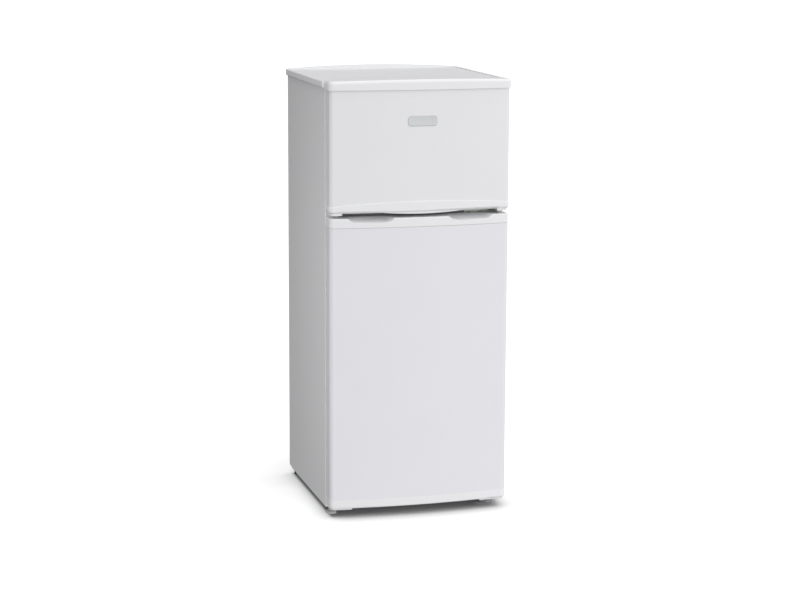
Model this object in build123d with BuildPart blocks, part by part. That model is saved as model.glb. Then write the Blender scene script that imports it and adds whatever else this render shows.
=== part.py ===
"""Top freezer refrigerator with bowed doors and a rear-mounted cooling unit.

Millimetres, +Z up.  The origin is on the floor under the middle of the whole object, the doors
face -Y and hinge on the +X side, and every piece is drawn where it sits with the doors shut.
"""

from math import atan2, cos, degrees, radians, sin

from build123d import *

# Cabinet
cabinet_width = 500.0
cabinet_depth = 450.0
side_bottom = 21.0  # floor to the lower edge of the side panels
cabinet_top = 1171.0  # floor to the top of the steel wrapper
sheet = 0.8  # steel sheet of wrapper, panels and door skins
front_return = 36.0  # flange that the door gaskets seal on
rear_return = 12.0
bend_radius = 1.5
heel_length = 30.0  # slanted cut at the lower rear corner of each side panel
heel_height = 6.0

# Doors
door_gap = 9.0  # cabinet front to the back of a shut door
door_edge_depth = 46.0  # door thickness at its side edges
door_bow = 17.0  # how far the middle stands ahead of the side edges
door_corner = 13.0  # radius of the upright front edges
door_swing = 110.0  # degrees
top_cap_proud = 3.5  # the freezer's top cap stands out past the skin
fridge_door_bottom = 24.0  # underside of the lower door's end lugs
fridge_door_top = 826.0
between_doors = 8.0
top_cap_height = 23.5
top_cap_crown = 4.0
top_cap_rise = 2.5  # the ends of the top cap stand above the worktop's rim
top_cap_round = 8.0
swoosh_height = 23.0  # lower edge of the freezer's bottom cap to its seam, at the ends
swoosh_rise = 13.0
swoosh_proud = 1.5  # the bottom cap stands out past the skin
swoosh_edge = 1.4
fridge_cap_height = 25.0
fridge_foot_height = 28.0  # height of the fridge door's bottom cap
lug_set_in = 3.0  # door outline to the outline of the lugs under its ends
lug_edge_round = 1.5
freezer_lug = 33.0  # length of both lugs under the freezer door
fridge_lug_left = 60.0
fridge_lug_right = 75.0
lug_drop_freezer = 6.0
lug_drop_fridge = 4.0
cap_wall = 4.0
freezer_edge_round = 7.0  # lower edge of the freezer door
fridge_edge_round = 4.0
cap_rear_round = 9.0
top_cap_rear_round = 9.0
top_cap_free_round = 3.0  # the same on the side away from the hinge
cap_lip_round = 3.0
cap_tongue = 22.0  # part of the top cap that sits inside the skin
seam_tongue = 10.0  # the same on the fridge door
seam_gap = 1.2  # open joint under the fridge door's top cap
seam_neck = 3.5  # the cap is set in behind that joint
seam_recess = 2.0
scoop_width = 146.0  # finger scoops in the fridge door's top cap
scoop_inset = 37.0
scoop_depth = 12.0
scoop_floor = 84.0  # level length at the bottom of a scoop
scoop_slope = 14.0
skin_return = 14.0

# Compartments
fridge_wall = 40.0
freezer_wall = 50.0
back_wall = 50.0
floor_wall = 35.0
top_wall = 60.0
mullion = 60.0
floor_height = 31.0  # floor to the underside of the foam
liner_wall = 1.5
liner_profile_round = 16.0
liner_side_round = 12.0
bay_depth = 165.0  # compressor bay, from the rear
bay_height = 237.0
bay_wall = 34.0  # insulation between the bay and the fridge compartment
rib_reach = 10.0
rib_height = 9.0
rail_height = 52.0

# Door liners, gaskets and balconies
dyke_height = 30.0
dyke_width = 26.0
dyke_play = 10.0  # dyke to compartment wall
dyke_round = 16.0
dyke_taper = 4.0
recess_depth = 8.0
gasket_inset = 20.0  # door edge to the outside of the gasket
gasket_width = 14.0
gasket_base = 2.5
gasket_neck = 2.7
gasket_neck_width = 7.0
gasket_play = 0.3
gasket_round = 8.0
liner_inset = 4.0
balcony_reach = 84.0  # door back to the outside of a balcony's front wall
balcony_wall = 2.2
balcony_play = 1.0
balcony_round = 14.0
lug_reach = 6.0
lug_length = 14.0
lug_thickness = 6.0
lug_lift = 24.0  # balcony underside to the top of its lug
seat_play = 0.3

# Hinges
hinge_inset = 20.0  # door edge to hinge axis
hinge_set_back = 20.0  # door back to hinge axis
pin_radius = 4.0
pin_play = 0.08
pin_length = 18.0
bush_radius = 7.0
bush_flange = 10.0
bush_flange_height = 1.5
plate = 3.0
arm_radius = 8.5
arm_play = 1.5
hinge_foot_play = 3.0  # right foot's stud to the lower hinge
leg_width = 90.0
leg_height = 14.0
leg_thickness = 2.5
screw_radius = 2.4
screw_head_radius = 4.6
screw_head = 2.6

# Worktop
worktop_height = 17.0
worktop_overhang = 8.0
worktop_rear_overhang = 10.0
worktop_wall = 4.0
worktop_round = 24.0
worktop_edge_round = 2.5
worktop_lower_round = 3.0  # lower outer edge of its overhang
rim_width = 12.0
rim_height = 1.6
lip_depth = 14.0
lip_rise = 8.5
lip_end_rise = 1.0

# Machine bay and cooling circuit
plate_height = 23.0
plate_sheet = 1.5
plate_flange = 20.0
plate_tail = 30.0  # how far the plate runs under the foam
compressor_x = 95.0
compressor_length = 190.0
compressor_depth = 128.0
compressor_bottom = 34.0
compressor_height = 150.0
compressor_round = 34.0
compressor_corner = 58.0
mount_pitch_x = 190.0
mount_pitch_y = 96.0
mount_radius = 12.0
mount_height = 15.0
mount_neck = 6.5
mount_play = 0.2
mount_tail = 4.5  # neck of the rubber mount below the plate
bolt_radius = 3.0
bolt_head_radius = 6.0
bolt_head = 4.0
foot_sheet = 3.0
foot_margin = 14.0
weld_rim = 4.0
weld_height = 3.0
tube_radius = 2.5
tube_sides = 8
wire_side = 1.5
condenser_stand_off = 22.0  # cabinet rear to the middle of the condenser tube
condenser_width = 400.0
condenser_low = 300.0
condenser_passes = 11
condenser_pitch = 72.0
condenser_bend = 30.0
condenser_lead = 22.0  # upright leads beside the passes
condenser_drop = 60.0
wire_count = 25
wire_end = 14.0
wire_play = 0.05
clip_width = 14.0
clip_height = 22.0
clip_wall = 3.0
relay_length = 40.0
relay_width = 52.0
relay_height = 60.0
tray_length = 150.0
tray_depth = 100.0
tray_height = 26.0
tray_wall = 2.0
spout_radius = 8.0
spout_wall = 1.6
spout_length = 28.0
pipe_radius = 3.0
pipe_bend = 14.0
drier_radius = 9.0
drier_length = 90.0
capillary_set_in = 40.0  # drier to the capillary's upright run

# Feet
foot_radius = 15.0
foot_disc = 7.0
stud_radius = 5.0
stud_play = 0.08
left_foot_in = 18.0  # side panel to the middle of the foot
right_foot_in = 34.0
foot_set_back = 12.0
boss_radius = 9.0
rail_flange = 46.0
rail_sheet = 1.2
rear_foot_radius = 9.0
rear_foot_taper = 1.5
rear_foot_inset = 20.0
rear_foot_set_in = 18.0

# Inside the fridge compartment
shelf_thickness = 4.0
shelf_play = 1.5
shelf_set_back = 105.0  # cabinet front to a shelf's front edge
upper_shelf = 625.0
lower_shelf = 460.0
trim_height = 12.0
trim_depth = 14.0
trim_wall = 2.0
crisper_cover = 292.0  # underside of the glass over the crisper
crisper_front = 100.0  # cabinet front to the crisper's front
crisper_wall = 2.2
crisper_play = 3.0
crisper_lip = 10.0
housing_low = 700.0
housing_height = 84.0
housing_reach = 46.0
housing_front = 36.0
housing_length = 190.0
housing_wall = 2.2
housing_round = 10.0
knob_radius = 17.0
knob_height = 13.0
knob_y = 44.0  # housing front to the knob's axis
knob_stem = 4.0
lamp_y = 128.0  # housing front to the middle of the lamp cover
cover_length = 92.0
cover_height = 56.0
bulb_radius = 12.0
bulb_length = 46.0
button_radius = 4.0
button_length = 18.0
rack_set_back = 70.0  # cabinet front to the rack's front
bar_rise = 70.0  # freezer floor to the underside of the door bar
rack_rod = 2.5
rack_wire = 1.5
rack_count = 15

# Places worked out from the sizes above
half_width = cabinet_width / 2
inner_half = half_width - sheet
rear_reach = condenser_stand_off + tube_radius + wire_play + wire_side
overall_depth = (
    top_cap_proud + door_bow + door_edge_depth + door_gap + cabinet_depth + rear_reach
)
cabinet_front = -overall_depth / 2 + top_cap_proud + door_bow + door_edge_depth + door_gap
cabinet_rear = cabinet_front + cabinet_depth
foam_front = cabinet_front + sheet
foam_rear = cabinet_rear - 2 * sheet
door_back = cabinet_front - door_gap
skin_back = door_back - liner_wall
door_edge_front = door_back - door_edge_depth
hinge_x = half_width - hinge_inset
hinge_y = door_back - hinge_set_back
freezer_door_top = cabinet_top + worktop_height + top_cap_rise  # at its ends, below the crown
freezer_door_bottom = fridge_door_top + between_doors
gap_middle = fridge_door_top + between_doors / 2
freezer_seam = freezer_door_top - top_cap_height
fridge_seam = fridge_door_top - fridge_cap_height
foot_seam = fridge_door_bottom + fridge_foot_height
swoosh_seam = freezer_door_bottom + swoosh_height
fridge_half = half_width - fridge_wall
freezer_half = half_width - freezer_wall
fridge_floor = floor_height + floor_wall
fridge_ceiling = gap_middle - mullion / 2
freezer_floor = gap_middle + mullion / 2
freezer_ceiling = cabinet_top - top_wall
rack_height = (freezer_floor + freezer_ceiling) / 2
compartment_back = cabinet_rear - back_wall
bay_front = cabinet_rear - bay_depth
step_front = bay_front - bay_wall
step_top = bay_height + bay_wall
worktop_top = cabinet_top + worktop_height
left_foot_x = -half_width + left_foot_in
right_foot_x = half_width - right_foot_in


def front_plane(y: float) -> Plane:
    """Return the plane at a depth as seen from the front: local x is +X and local y is +Z."""
    return Plane(origin=(0, y, 0), x_dir=(1, 0, 0), z_dir=(0, -1, 0))


def panel(x_low: float, x_high: float, y_low: float, y_high: float, mode: Mode = Mode.ADD) -> None:
    """Draw a rectangle between two corners in the sketch being built."""
    with Locations(((x_low + x_high) / 2, (y_low + y_high) / 2)):
        Rectangle(x_high - x_low, y_high - y_low, mode=mode)


def rounded(x_low: float, x_high: float, y_low: float, y_high: float, radius: float, mode=Mode.ADD) -> None:
    """Draw a rectangle with rounded corners between two corners in the sketch being built."""
    with Locations(((x_low + x_high) / 2, (y_low + y_high) / 2)):
        RectangleRounded(x_high - x_low, y_high - y_low, radius, mode=mode)


def disc(x: float, y: float, radius: float, mode: Mode = Mode.ADD) -> None:
    """Draw a circle in the sketch being built."""
    with Locations((x, y)):
        Circle(radius, mode=mode)


def keep(piece: Part, name: str) -> None:
    """Label a finished piece and write it to its own file."""
    piece.label = name
    export_step(piece, f"parts/{name}.step")


# Cabinet wrapper and panels
with BuildPart() as cabinet_shell:
    with BuildSketch(front_plane(cabinet_front)):
        panel(-half_width, half_width, side_bottom, cabinet_top)
        panel(-inner_half, inner_half, 0, cabinet_top - sheet, Mode.SUBTRACT)
    extrude(amount=-cabinet_depth)
    with BuildSketch(front_plane(cabinet_front)):
        panel(-half_width, half_width, side_bottom, cabinet_top)
        return_edge = half_width - front_return
        panel(-return_edge, return_edge, 0, cabinet_top - front_return, Mode.SUBTRACT)
    extrude(amount=-sheet)
    with BuildSketch(front_plane(cabinet_rear)):
        panel(-half_width, half_width, side_bottom, cabinet_top)
        rear_edge = half_width - rear_return
        panel(-rear_edge, rear_edge, 0, cabinet_top - rear_return, Mode.SUBTRACT)
    extrude(amount=sheet)
    with BuildSketch(Plane.YZ):
        with BuildLine():
            Polyline(
                (cabinet_rear - heel_length, side_bottom),
                (cabinet_rear, side_bottom),
                (cabinet_rear, side_bottom + heel_height),
                close=True,
            )
        make_face()
    extrude(amount=cabinet_width, both=True, mode=Mode.SUBTRACT)
    front_uprights = edges().filter_by(Axis.Z).group_by(Axis.Y)[0]
    fillet(front_uprights.sort_by(Axis.X)[0], bend_radius)
    front_uprights = edges().filter_by(Axis.Z).group_by(Axis.Y)[0]
    fillet(front_uprights.sort_by(Axis.X)[-1], bend_radius)
keep(cabinet_shell.part, "cabinet_shell")

bead_width = 16.0
bead_height = 2.5
bead_spacing = 110.0
bead_end = 60.0
with BuildPart() as back_panel:
    with BuildSketch(front_plane(cabinet_rear - sheet)):
        panel(-inner_half, inner_half, bay_height - sheet, cabinet_top - sheet)
    extrude(amount=sheet)
    with BuildSketch(front_plane(cabinet_rear - sheet)):
        bead_low = bay_height + bead_end
        bead_high = cabinet_top - bead_end
        with Locations((0, (bead_low + bead_high) / 2)):
            with GridLocations(bead_spacing, 0, 3, 1):
                SlotOverall(bead_high - bead_low, bead_width, rotation=90)
    extrude(amount=-bead_height, taper=30)
keep(back_panel.part, "back_panel")

with BuildPart() as bay_panel:
    with BuildSketch(Plane.YZ.offset(-inner_half)):
        panel(foam_front, bay_front + sheet, floor_height - sheet, floor_height)
        panel(bay_front, bay_front + sheet, floor_height - sheet, bay_height)
        panel(bay_front, foam_rear, bay_height - sheet, bay_height)
    extrude(amount=2 * inner_half)
keep(bay_panel.part, "bay_panel")


# Compartments
def fridge_outline() -> list[tuple[float, float]]:
    """Return the fridge compartment's side outline as depth and height pairs."""
    return [
        (cabinet_front, fridge_floor),
        (step_front, fridge_floor),
        (step_front, step_top),
        (compartment_back, step_top),
        (compartment_back, fridge_ceiling),
        (cabinet_front, fridge_ceiling),
    ]


def freezer_outline() -> list[tuple[float, float]]:
    """Return the freezer compartment's side outline as depth and height pairs."""
    return [
        (cabinet_front, freezer_floor),
        (compartment_back, freezer_floor),
        (compartment_back, freezer_ceiling),
        (cabinet_front, freezer_ceiling),
    ]


def cavity(outline: list[tuple[float, float]], half_span: float, grow: float) -> Part:
    """Return a compartment's space as a solid, grown by a wall, from the liner lip to the back."""
    with BuildPart() as space:
        with BuildSketch(Plane.YZ.offset(-half_span - grow)):
            with BuildLine():
                Polyline(*outline, close=True)
            make_face()
            fillet(vertices().sort_by(Axis.X)[2:], liner_profile_round)
            if grow > 0:
                offset(amount=grow)
        extrude(amount=2 * (half_span + grow))
        if grow == 0:
            sides = faces().filter_by(Axis.X)
            side_edges = sides.sort_by(Axis.X)[0].edges() + sides.sort_by(Axis.X)[-1].edges()
            fillet(side_edges.filter_by(lambda e: e.center().Y > cabinet_front + 1), liner_side_round)
        with BuildSketch(front_plane(foam_front)):
            panel(-cabinet_width, cabinet_width, 0, 2 * cabinet_top)
        extrude(amount=cabinet_depth, mode=Mode.SUBTRACT)
    return space.part


def lip(low: float, high: float) -> Part:
    """Return the flat lip of a liner that hooks behind the wrapper's front return."""
    with BuildPart() as flange:
        with BuildSketch(front_plane(foam_front)):
            panel(-inner_half, inner_half, low, high)
        extrude(amount=-liner_wall)
    return flange.part


fridge_space = cavity(fridge_outline(), fridge_half, 0)
fridge_outer = cavity(fridge_outline(), fridge_half, liner_wall)
freezer_space = cavity(freezer_outline(), freezer_half, 0)
freezer_outer = cavity(freezer_outline(), freezer_half, liner_wall)
lip_low = floor_height + floor_wall / 3
fridge_lip = lip(lip_low, gap_middle)
freezer_lip = lip(gap_middle, cabinet_top - sheet)

shelf_rear = compartment_back - shelf_play - liner_profile_round
rib_levels = [upper_shelf, lower_shelf]
with BuildPart() as fridge_liner:
    add(fridge_outer)
    add(fridge_lip)
    add(fridge_space, mode=Mode.SUBTRACT)
    for level in rib_levels:
        for side in (-1, 1):
            inner_face = front_plane(cabinet_front + shelf_set_back)
            with BuildSketch(inner_face):
                low_x = side * (fridge_half - rib_reach)
                high_x = side * fridge_half
                panel(min(low_x, high_x), max(low_x, high_x), level - rib_height, level)
            extrude(amount=-(shelf_rear - cabinet_front - shelf_set_back))
    for side in (-1, 1):
        with BuildSketch(front_plane(cabinet_front + shelf_set_back)):
            low_x = side * (fridge_half - rib_reach)
            high_x = side * fridge_half
            panel(min(low_x, high_x), max(low_x, high_x), crisper_cover - rib_height, crisper_cover)
        extrude(amount=-(shelf_rear - cabinet_front - shelf_set_back))
keep(fridge_liner.part, "fridge_liner")

rack_front = cabinet_front + rack_set_back
rack_rear = compartment_back - liner_profile_round
with BuildPart() as freezer_liner:
    add(freezer_outer)
    add(freezer_lip)
    add(freezer_space, mode=Mode.SUBTRACT)
    for side in (-1, 1):
        with BuildSketch(front_plane(rack_front)):
            low_x = side * (freezer_half - rib_reach)
            high_x = side * freezer_half
            panel(min(low_x, high_x), max(low_x, high_x), rack_height - rib_height, rack_height)
        extrude(amount=-(rack_rear - rack_front))
keep(freezer_liner.part, "freezer_liner")

evaporator_sheet = 1.4
wrap_front = 60.0
wrap_rear = 40.0
with BuildPart() as freezer_evaporator:
    wrap_half = freezer_half + liner_wall
    wrap_low = freezer_floor - liner_wall
    wrap_high = freezer_ceiling + liner_wall
    with BuildSketch(front_plane(cabinet_front + wrap_front)):
        rounded(
            -wrap_half - evaporator_sheet,
            wrap_half + evaporator_sheet,
            wrap_low - evaporator_sheet,
            wrap_high + evaporator_sheet,
            evaporator_sheet,
        )
        panel(-wrap_half, wrap_half, wrap_low, wrap_high, Mode.SUBTRACT)
    extrude(amount=-(compartment_back - wrap_rear - cabinet_front - wrap_front))
keep(freezer_evaporator.part, "freezer_evaporator")

evaporator_width = 330.0
evaporator_height = 300.0
evaporator_drop = 50.0
with BuildPart() as fridge_evaporator:
    with BuildSketch(front_plane(compartment_back + liner_wall)):
        middle = fridge_ceiling - evaporator_drop - evaporator_height / 2
        with Locations((0, middle)):
            RectangleRounded(evaporator_width, evaporator_height, 12)
    extrude(amount=-evaporator_sheet)
keep(fridge_evaporator.part, "fridge_evaporator")

with BuildPart() as insulation_foam:
    with BuildSketch(Plane.YZ.offset(-inner_half)):
        with BuildLine():
            Polyline(
                (foam_front, floor_height),
                (bay_front, floor_height),
                (bay_front, bay_height),
                (foam_rear, bay_height),
                (foam_rear, cabinet_top - sheet),
                (foam_front, cabinet_top - sheet),
                close=True,
            )
        make_face()
    extrude(amount=2 * inner_half)
    for hollow in (fridge_outer, freezer_outer, fridge_lip, freezer_lip):
        add(hollow, mode=Mode.SUBTRACT)
    add(freezer_evaporator.part, mode=Mode.SUBTRACT)
    add(fridge_evaporator.part, mode=Mode.SUBTRACT)
keep(insulation_foam.part, "insulation_foam")

hinge_screw_xs = [hinge_x - leg_width + 12.0, hinge_x - leg_width / 2]
with BuildPart() as centre_rail:
    with BuildSketch(front_plane(cabinet_front)):
        panel(-return_edge, return_edge, gap_middle - rail_height / 2, gap_middle + rail_height / 2)
    extrude(amount=-sheet)
keep(centre_rail.part, "centre_rail")

rail_top = 60.0
foot_y = cabinet_front + foot_set_back
with BuildPart() as base_rail:
    with BuildSketch(Plane.YZ.offset(-return_edge)):
        panel(cabinet_front, cabinet_front + sheet, side_bottom, rail_top)
    extrude(amount=2 * return_edge)
    with BuildSketch(Plane.XY.offset(side_bottom)):
        panel(-inner_half, inner_half, cabinet_front + sheet, cabinet_front + rail_flange)
    extrude(amount=rail_sheet)
    for foot_x in (left_foot_x, right_foot_x):
        with BuildSketch(Plane.XY.offset(side_bottom)):
            disc(foot_x, foot_y, boss_radius)
        extrude(amount=floor_height - sheet - side_bottom)
        with BuildSketch(Plane.XY.offset(side_bottom)):
            disc(foot_x, foot_y, stud_radius + stud_play)
        extrude(amount=floor_height, mode=Mode.SUBTRACT)
keep(base_rail.part, "base_rail")


def foot(x: float) -> Part:
    """Return a levelling foot: a flat disc, a hexagon for the spanner and a plain stud."""
    with BuildPart() as turned:
        with BuildSketch(Plane.XY):
            disc(x, foot_y, foot_radius)
        extrude(amount=foot_disc)
        chamfer(edges().filter_by(GeomType.CIRCLE).sort_by(Axis.Z)[-1], 2.5)
        with BuildSketch(Plane.XY.offset(foot_disc)):
            with Locations((x, foot_y)):
                RegularPolygon(stud_radius + 3.0, 6)
        extrude(amount=6.0)
        with BuildSketch(Plane.XY.offset(foot_disc)):
            disc(x, foot_y, stud_radius)
        extrude(amount=floor_height - 2 * sheet - foot_disc - 1.0)
    return turned.part


keep(foot(left_foot_x), "front_foot_left")
keep(foot(right_foot_x), "front_foot_right")


# Worktop: a hollow moulding with a raised rim and a lip arched along the rear
worktop_half = half_width + worktop_overhang
worktop_rear = cabinet_rear + worktop_rear_overhang
deck = worktop_top - rim_height
with BuildPart() as worktop:
    with BuildSketch(Plane.XY.offset(cabinet_top)):
        panel(-worktop_half, worktop_half, cabinet_front, worktop_rear)
        fillet(vertices().group_by(Axis.Y)[-1], worktop_round)
    extrude(amount=worktop_height)
    fillet(faces().sort_by(Axis.Z)[-1].edges().filter_by(Axis.Y), worktop_edge_round)
    fillet(faces().sort_by(Axis.Z)[0].edges().filter_by(Axis.Y), worktop_lower_round)
    with BuildSketch(Plane.XY.offset(worktop_top - worktop_edge_round)):
        panel(-worktop_half, worktop_half, cabinet_front, worktop_rear)
        fillet(vertices().group_by(Axis.Y)[-1], worktop_round)
        panel(-worktop_half, worktop_half, cabinet_front, worktop_rear - lip_depth, Mode.SUBTRACT)
    extrude(amount=worktop_edge_round + lip_rise)
    with BuildSketch(front_plane(worktop_rear)):
        with BuildLine():
            Line((-worktop_half, worktop_top), (-worktop_half + worktop_round, worktop_top + lip_end_rise))
            ThreePointArc(
                (-worktop_half + worktop_round, worktop_top + lip_end_rise),
                (0, worktop_top + lip_rise),
                (worktop_half - worktop_round, worktop_top + lip_end_rise),
            )
            Polyline(
                (worktop_half - worktop_round, worktop_top + lip_end_rise),
                (worktop_half, worktop_top),
                (worktop_half, worktop_top + 2 * lip_rise),
                (-worktop_half, worktop_top + 2 * lip_rise),
                (-worktop_half, worktop_top),
            )
        make_face()
    extrude(amount=2 * lip_depth, both=True, mode=Mode.SUBTRACT)
    with BuildSketch(Plane.XY.offset(deck)):
        rounded(
            -worktop_half + rim_width,
            worktop_half - rim_width,
            cabinet_front + rim_width,
            worktop_rear - lip_depth,
            worktop_round - rim_width / 2,
        )
    extrude(amount=worktop_height, mode=Mode.SUBTRACT)
    with BuildSketch(Plane.XY.offset(cabinet_top)):
        rounded(
            -half_width + worktop_wall,
            half_width - worktop_wall,
            cabinet_front + worktop_wall,
            cabinet_rear - worktop_wall,
            worktop_wall,
        )
    extrude(amount=deck - worktop_wall - cabinet_top, mode=Mode.SUBTRACT)
    with BuildSketch(front_plane(cabinet_front + worktop_wall + 1)):
        panel(
            hinge_x - arm_radius - arm_play,
            hinge_x + arm_radius + arm_play,
            cabinet_top,
            cabinet_top + plate + arm_play,
        )
    extrude(amount=2 * worktop_wall, mode=Mode.SUBTRACT)
keep(worktop.part, "worktop")


# Hinges
hinge_plate_width = 44.0
hinge_plate_depth = 42.0
hinge_plate_out = 13.0  # hinge axis to the outer edge of the top hinge's plate
top_screw_in = 22.0
top_screw_out = 8.0
arm_flare = 16.0  # the middle hinge's arm widens towards the cabinet
leg_out = 6.0
lower_screw_in = 14.0
lower_screw_pitch = 20.0
lower_screw_out = 4.0
top_screw_y = cabinet_front + hinge_plate_depth * 0.6
top_screw_xs = [hinge_x - top_screw_in, hinge_x + top_screw_out]
with BuildPart() as top_hinge:
    with BuildSketch(Plane.XY.offset(cabinet_top)):
        disc(hinge_x, hinge_y, arm_radius)
        panel(hinge_x - arm_radius, hinge_x + arm_radius, hinge_y, cabinet_front + hinge_plate_depth)
        rounded(
            hinge_x + hinge_plate_out - hinge_plate_width,
            hinge_x + hinge_plate_out,
            cabinet_front + worktop_wall + 1.0,
            cabinet_front + hinge_plate_depth,
            4.0,
        )
        for screw_x in top_screw_xs:
            disc(screw_x, top_screw_y, screw_radius, Mode.SUBTRACT)
    extrude(amount=plate)
    with BuildSketch(Plane.XY.offset(cabinet_top)):
        disc(hinge_x, hinge_y, pin_radius)
    extrude(amount=-pin_length)
    chamfer(edges().filter_by(GeomType.CIRCLE).sort_by(Axis.Z)[0], 1.0)
keep(top_hinge.part, "top_hinge")

leg_left = hinge_x - leg_width
leg_right = hinge_x + leg_out
with BuildPart() as middle_hinge:
    with BuildSketch(front_plane(cabinet_front)):
        rounded(leg_left, leg_right, gap_middle - leg_height / 2, gap_middle + leg_height / 2, 3.0)
        for screw_x in hinge_screw_xs:
            disc(screw_x, gap_middle, screw_radius, Mode.SUBTRACT)
    extrude(amount=leg_thickness)
    with BuildSketch(Plane.XY.offset(gap_middle - plate / 2)):
        with BuildLine():
            Polyline(
                (hinge_x - arm_radius - arm_flare, cabinet_front - leg_thickness),
                (hinge_x - arm_radius, hinge_y),
                (hinge_x + arm_radius, hinge_y),
                (leg_right, cabinet_front - leg_thickness),
                close=True,
            )
        make_face()
        disc(hinge_x, hinge_y, arm_radius)
    extrude(amount=plate)
    with BuildSketch(Plane.XY.offset(gap_middle - between_doors / 2 - pin_length + 2.0)):
        disc(hinge_x, hinge_y, pin_radius)
    extrude(amount=between_doors + 2 * pin_length - 4.0)
    round_edges = edges().filter_by(GeomType.CIRCLE)
    chamfer([round_edges.sort_by(Axis.Z)[0], round_edges.sort_by(Axis.Z)[-1]], 1.0)
keep(middle_hinge.part, "middle_hinge")

lower_left = right_foot_x + stud_radius + hinge_foot_play
lower_screw_y = cabinet_front + lower_screw_in
lower_screw_ys = [lower_screw_y, lower_screw_y + lower_screw_pitch]
lower_screw_x = hinge_x + lower_screw_out
with BuildPart() as lower_hinge:
    with BuildSketch(Plane.XY.offset(side_bottom - plate)):
        rounded(lower_left, half_width - 3.0, cabinet_front - 4.0, cabinet_front + rail_flange - 2.0, 4.0)
        panel(hinge_x - arm_radius, hinge_x + arm_radius, hinge_y, cabinet_front)
        disc(hinge_x, hinge_y, arm_radius)
        for screw_y in lower_screw_ys:
            disc(lower_screw_x, screw_y, screw_radius, Mode.SUBTRACT)
    extrude(amount=plate)
    with BuildSketch(Plane.XY.offset(side_bottom)):
        disc(hinge_x, hinge_y, pin_radius)
    extrude(amount=fridge_door_bottom - side_bottom + pin_length - 2.0)
    chamfer(edges().filter_by(GeomType.CIRCLE).sort_by(Axis.Z)[-1], 1.0)
keep(lower_hinge.part, "lower_hinge")


def screw(seat: Plane, length: float) -> Part:
    """Return a hexagon-head screw whose head stands on a plane and whose shank runs below it."""
    with BuildPart() as fastener:
        with BuildSketch(seat):
            RegularPolygon(screw_head_radius, 6)
        extrude(amount=screw_head)
        with BuildSketch(seat):
            Circle(screw_radius)
        extrude(amount=-length)
    return fastener.part


hinge_seats = [
    Plane(origin=(x, top_screw_y, cabinet_top + plate), z_dir=(0, 0, 1)) for x in top_screw_xs
]
hinge_seats += [
    Plane(origin=(x, cabinet_front - leg_thickness, gap_middle), x_dir=(1, 0, 0), z_dir=(0, -1, 0))
    for x in hinge_screw_xs
]
hinge_seats += [
    Plane(origin=(lower_screw_x, y, side_bottom - plate), x_dir=(1, 0, 0), z_dir=(0, 0, -1))
    for y in lower_screw_ys
]
with BuildPart() as hinge_screws:
    for seat in hinge_seats[:2]:
        add(screw(seat, plate))
    for seat in hinge_seats[2:4]:
        add(screw(seat, leg_thickness))
    for seat in hinge_seats[4:]:
        add(screw(seat, plate))
keep(hinge_screws.part, "hinge_screws")


# Doors
def door_plan(grow: float, back: float, rear_round: float = 0.0, free_round: float = 0.0) -> None:
    """Draw the bowed door, seen from above, in the sketch being built.

    rear_round is the radius of the rear corners; free_round, where given, that of the one away
    from the hinge.
    """
    edge = half_width + grow
    front = door_edge_front - grow
    with BuildLine() as outline:
        ThreePointArc((-edge, front), (0, front - door_bow), (edge, front))
        Polyline((edge, front), (edge, back), (-edge, back), (-edge, front))
    make_face(outline.edges())
    fillet(vertices().group_by(Axis.Y)[0], door_corner + grow)
    if rear_round > 0:
        free_corner, hinge_corner = vertices().group_by(Axis.Y)[-1].sort_by(Axis.X)
        fillet(hinge_corner, rear_round)
        fillet(free_corner, free_round or rear_round)


def door_block(
    low: float, high: float, grow: float, back: float, rear_round: float = 0.0, free_round: float = 0.0
) -> Part:
    """Return the bowed door outline as a solid between two heights."""
    with BuildPart() as block:
        with BuildSketch(Plane.XY.offset(low)):
            door_plan(grow, back, rear_round, free_round)
        extrude(amount=high - low)
    return block.part


def bush(end: float, into: float) -> Part:
    """Return a flanged hinge bush whose flange face is at a height and whose sleeve runs up or down."""
    with BuildPart() as sleeve:
        with BuildSketch(Plane.XY.offset(end)):
            disc(hinge_x, hinge_y, bush_flange)
        extrude(amount=into * bush_flange_height)
        with BuildSketch(Plane.XY.offset(end)):
            disc(hinge_x, hinge_y, bush_radius)
        extrude(amount=into * (pin_length + 1.0))
        with BuildSketch(Plane.XY.offset(end)):
            disc(hinge_x, hinge_y, pin_radius + pin_play)
        extrude(amount=into * (pin_length - 0.5), mode=Mode.SUBTRACT)
    return sleeve.part


def bush_seat(end: float, into: float) -> Part:
    """Return the space that a bush fills, bore included."""
    with BuildPart() as seat:
        with BuildSketch(Plane.XY.offset(end)):
            disc(hinge_x, hinge_y, bush_flange)
        extrude(amount=into * bush_flange_height)
        with BuildSketch(Plane.XY.offset(end)):
            disc(hinge_x, hinge_y, bush_radius)
        extrude(amount=into * (pin_length + 1.0))
    return seat.part


def bush_boss(low: float, high: float) -> Part:
    """Return the solid boss around a bush, between two heights."""
    with BuildPart() as boss:
        with BuildSketch(Plane.XY.offset(low)):
            disc(hinge_x, hinge_y, bush_radius + cap_wall)
        extrude(amount=high - low)
    return boss.part


def under_arch(end_height: float, rise: float) -> Part:
    """Return all the space below an arched seam that runs across a door."""
    with BuildPart() as space:
        with BuildSketch(front_plane(cabinet_front)):
            edge = half_width + top_cap_proud
            with BuildLine():
                if rise > 0:
                    ThreePointArc((-edge, end_height), (0, end_height + rise), (edge, end_height))
                else:
                    Line((-edge, end_height), (edge, end_height))
                Polyline((edge, end_height), (edge, 0), (-edge, 0), (-edge, end_height))
            make_face()
        extrude(amount=overall_depth / 2)
    return space.part


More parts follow.
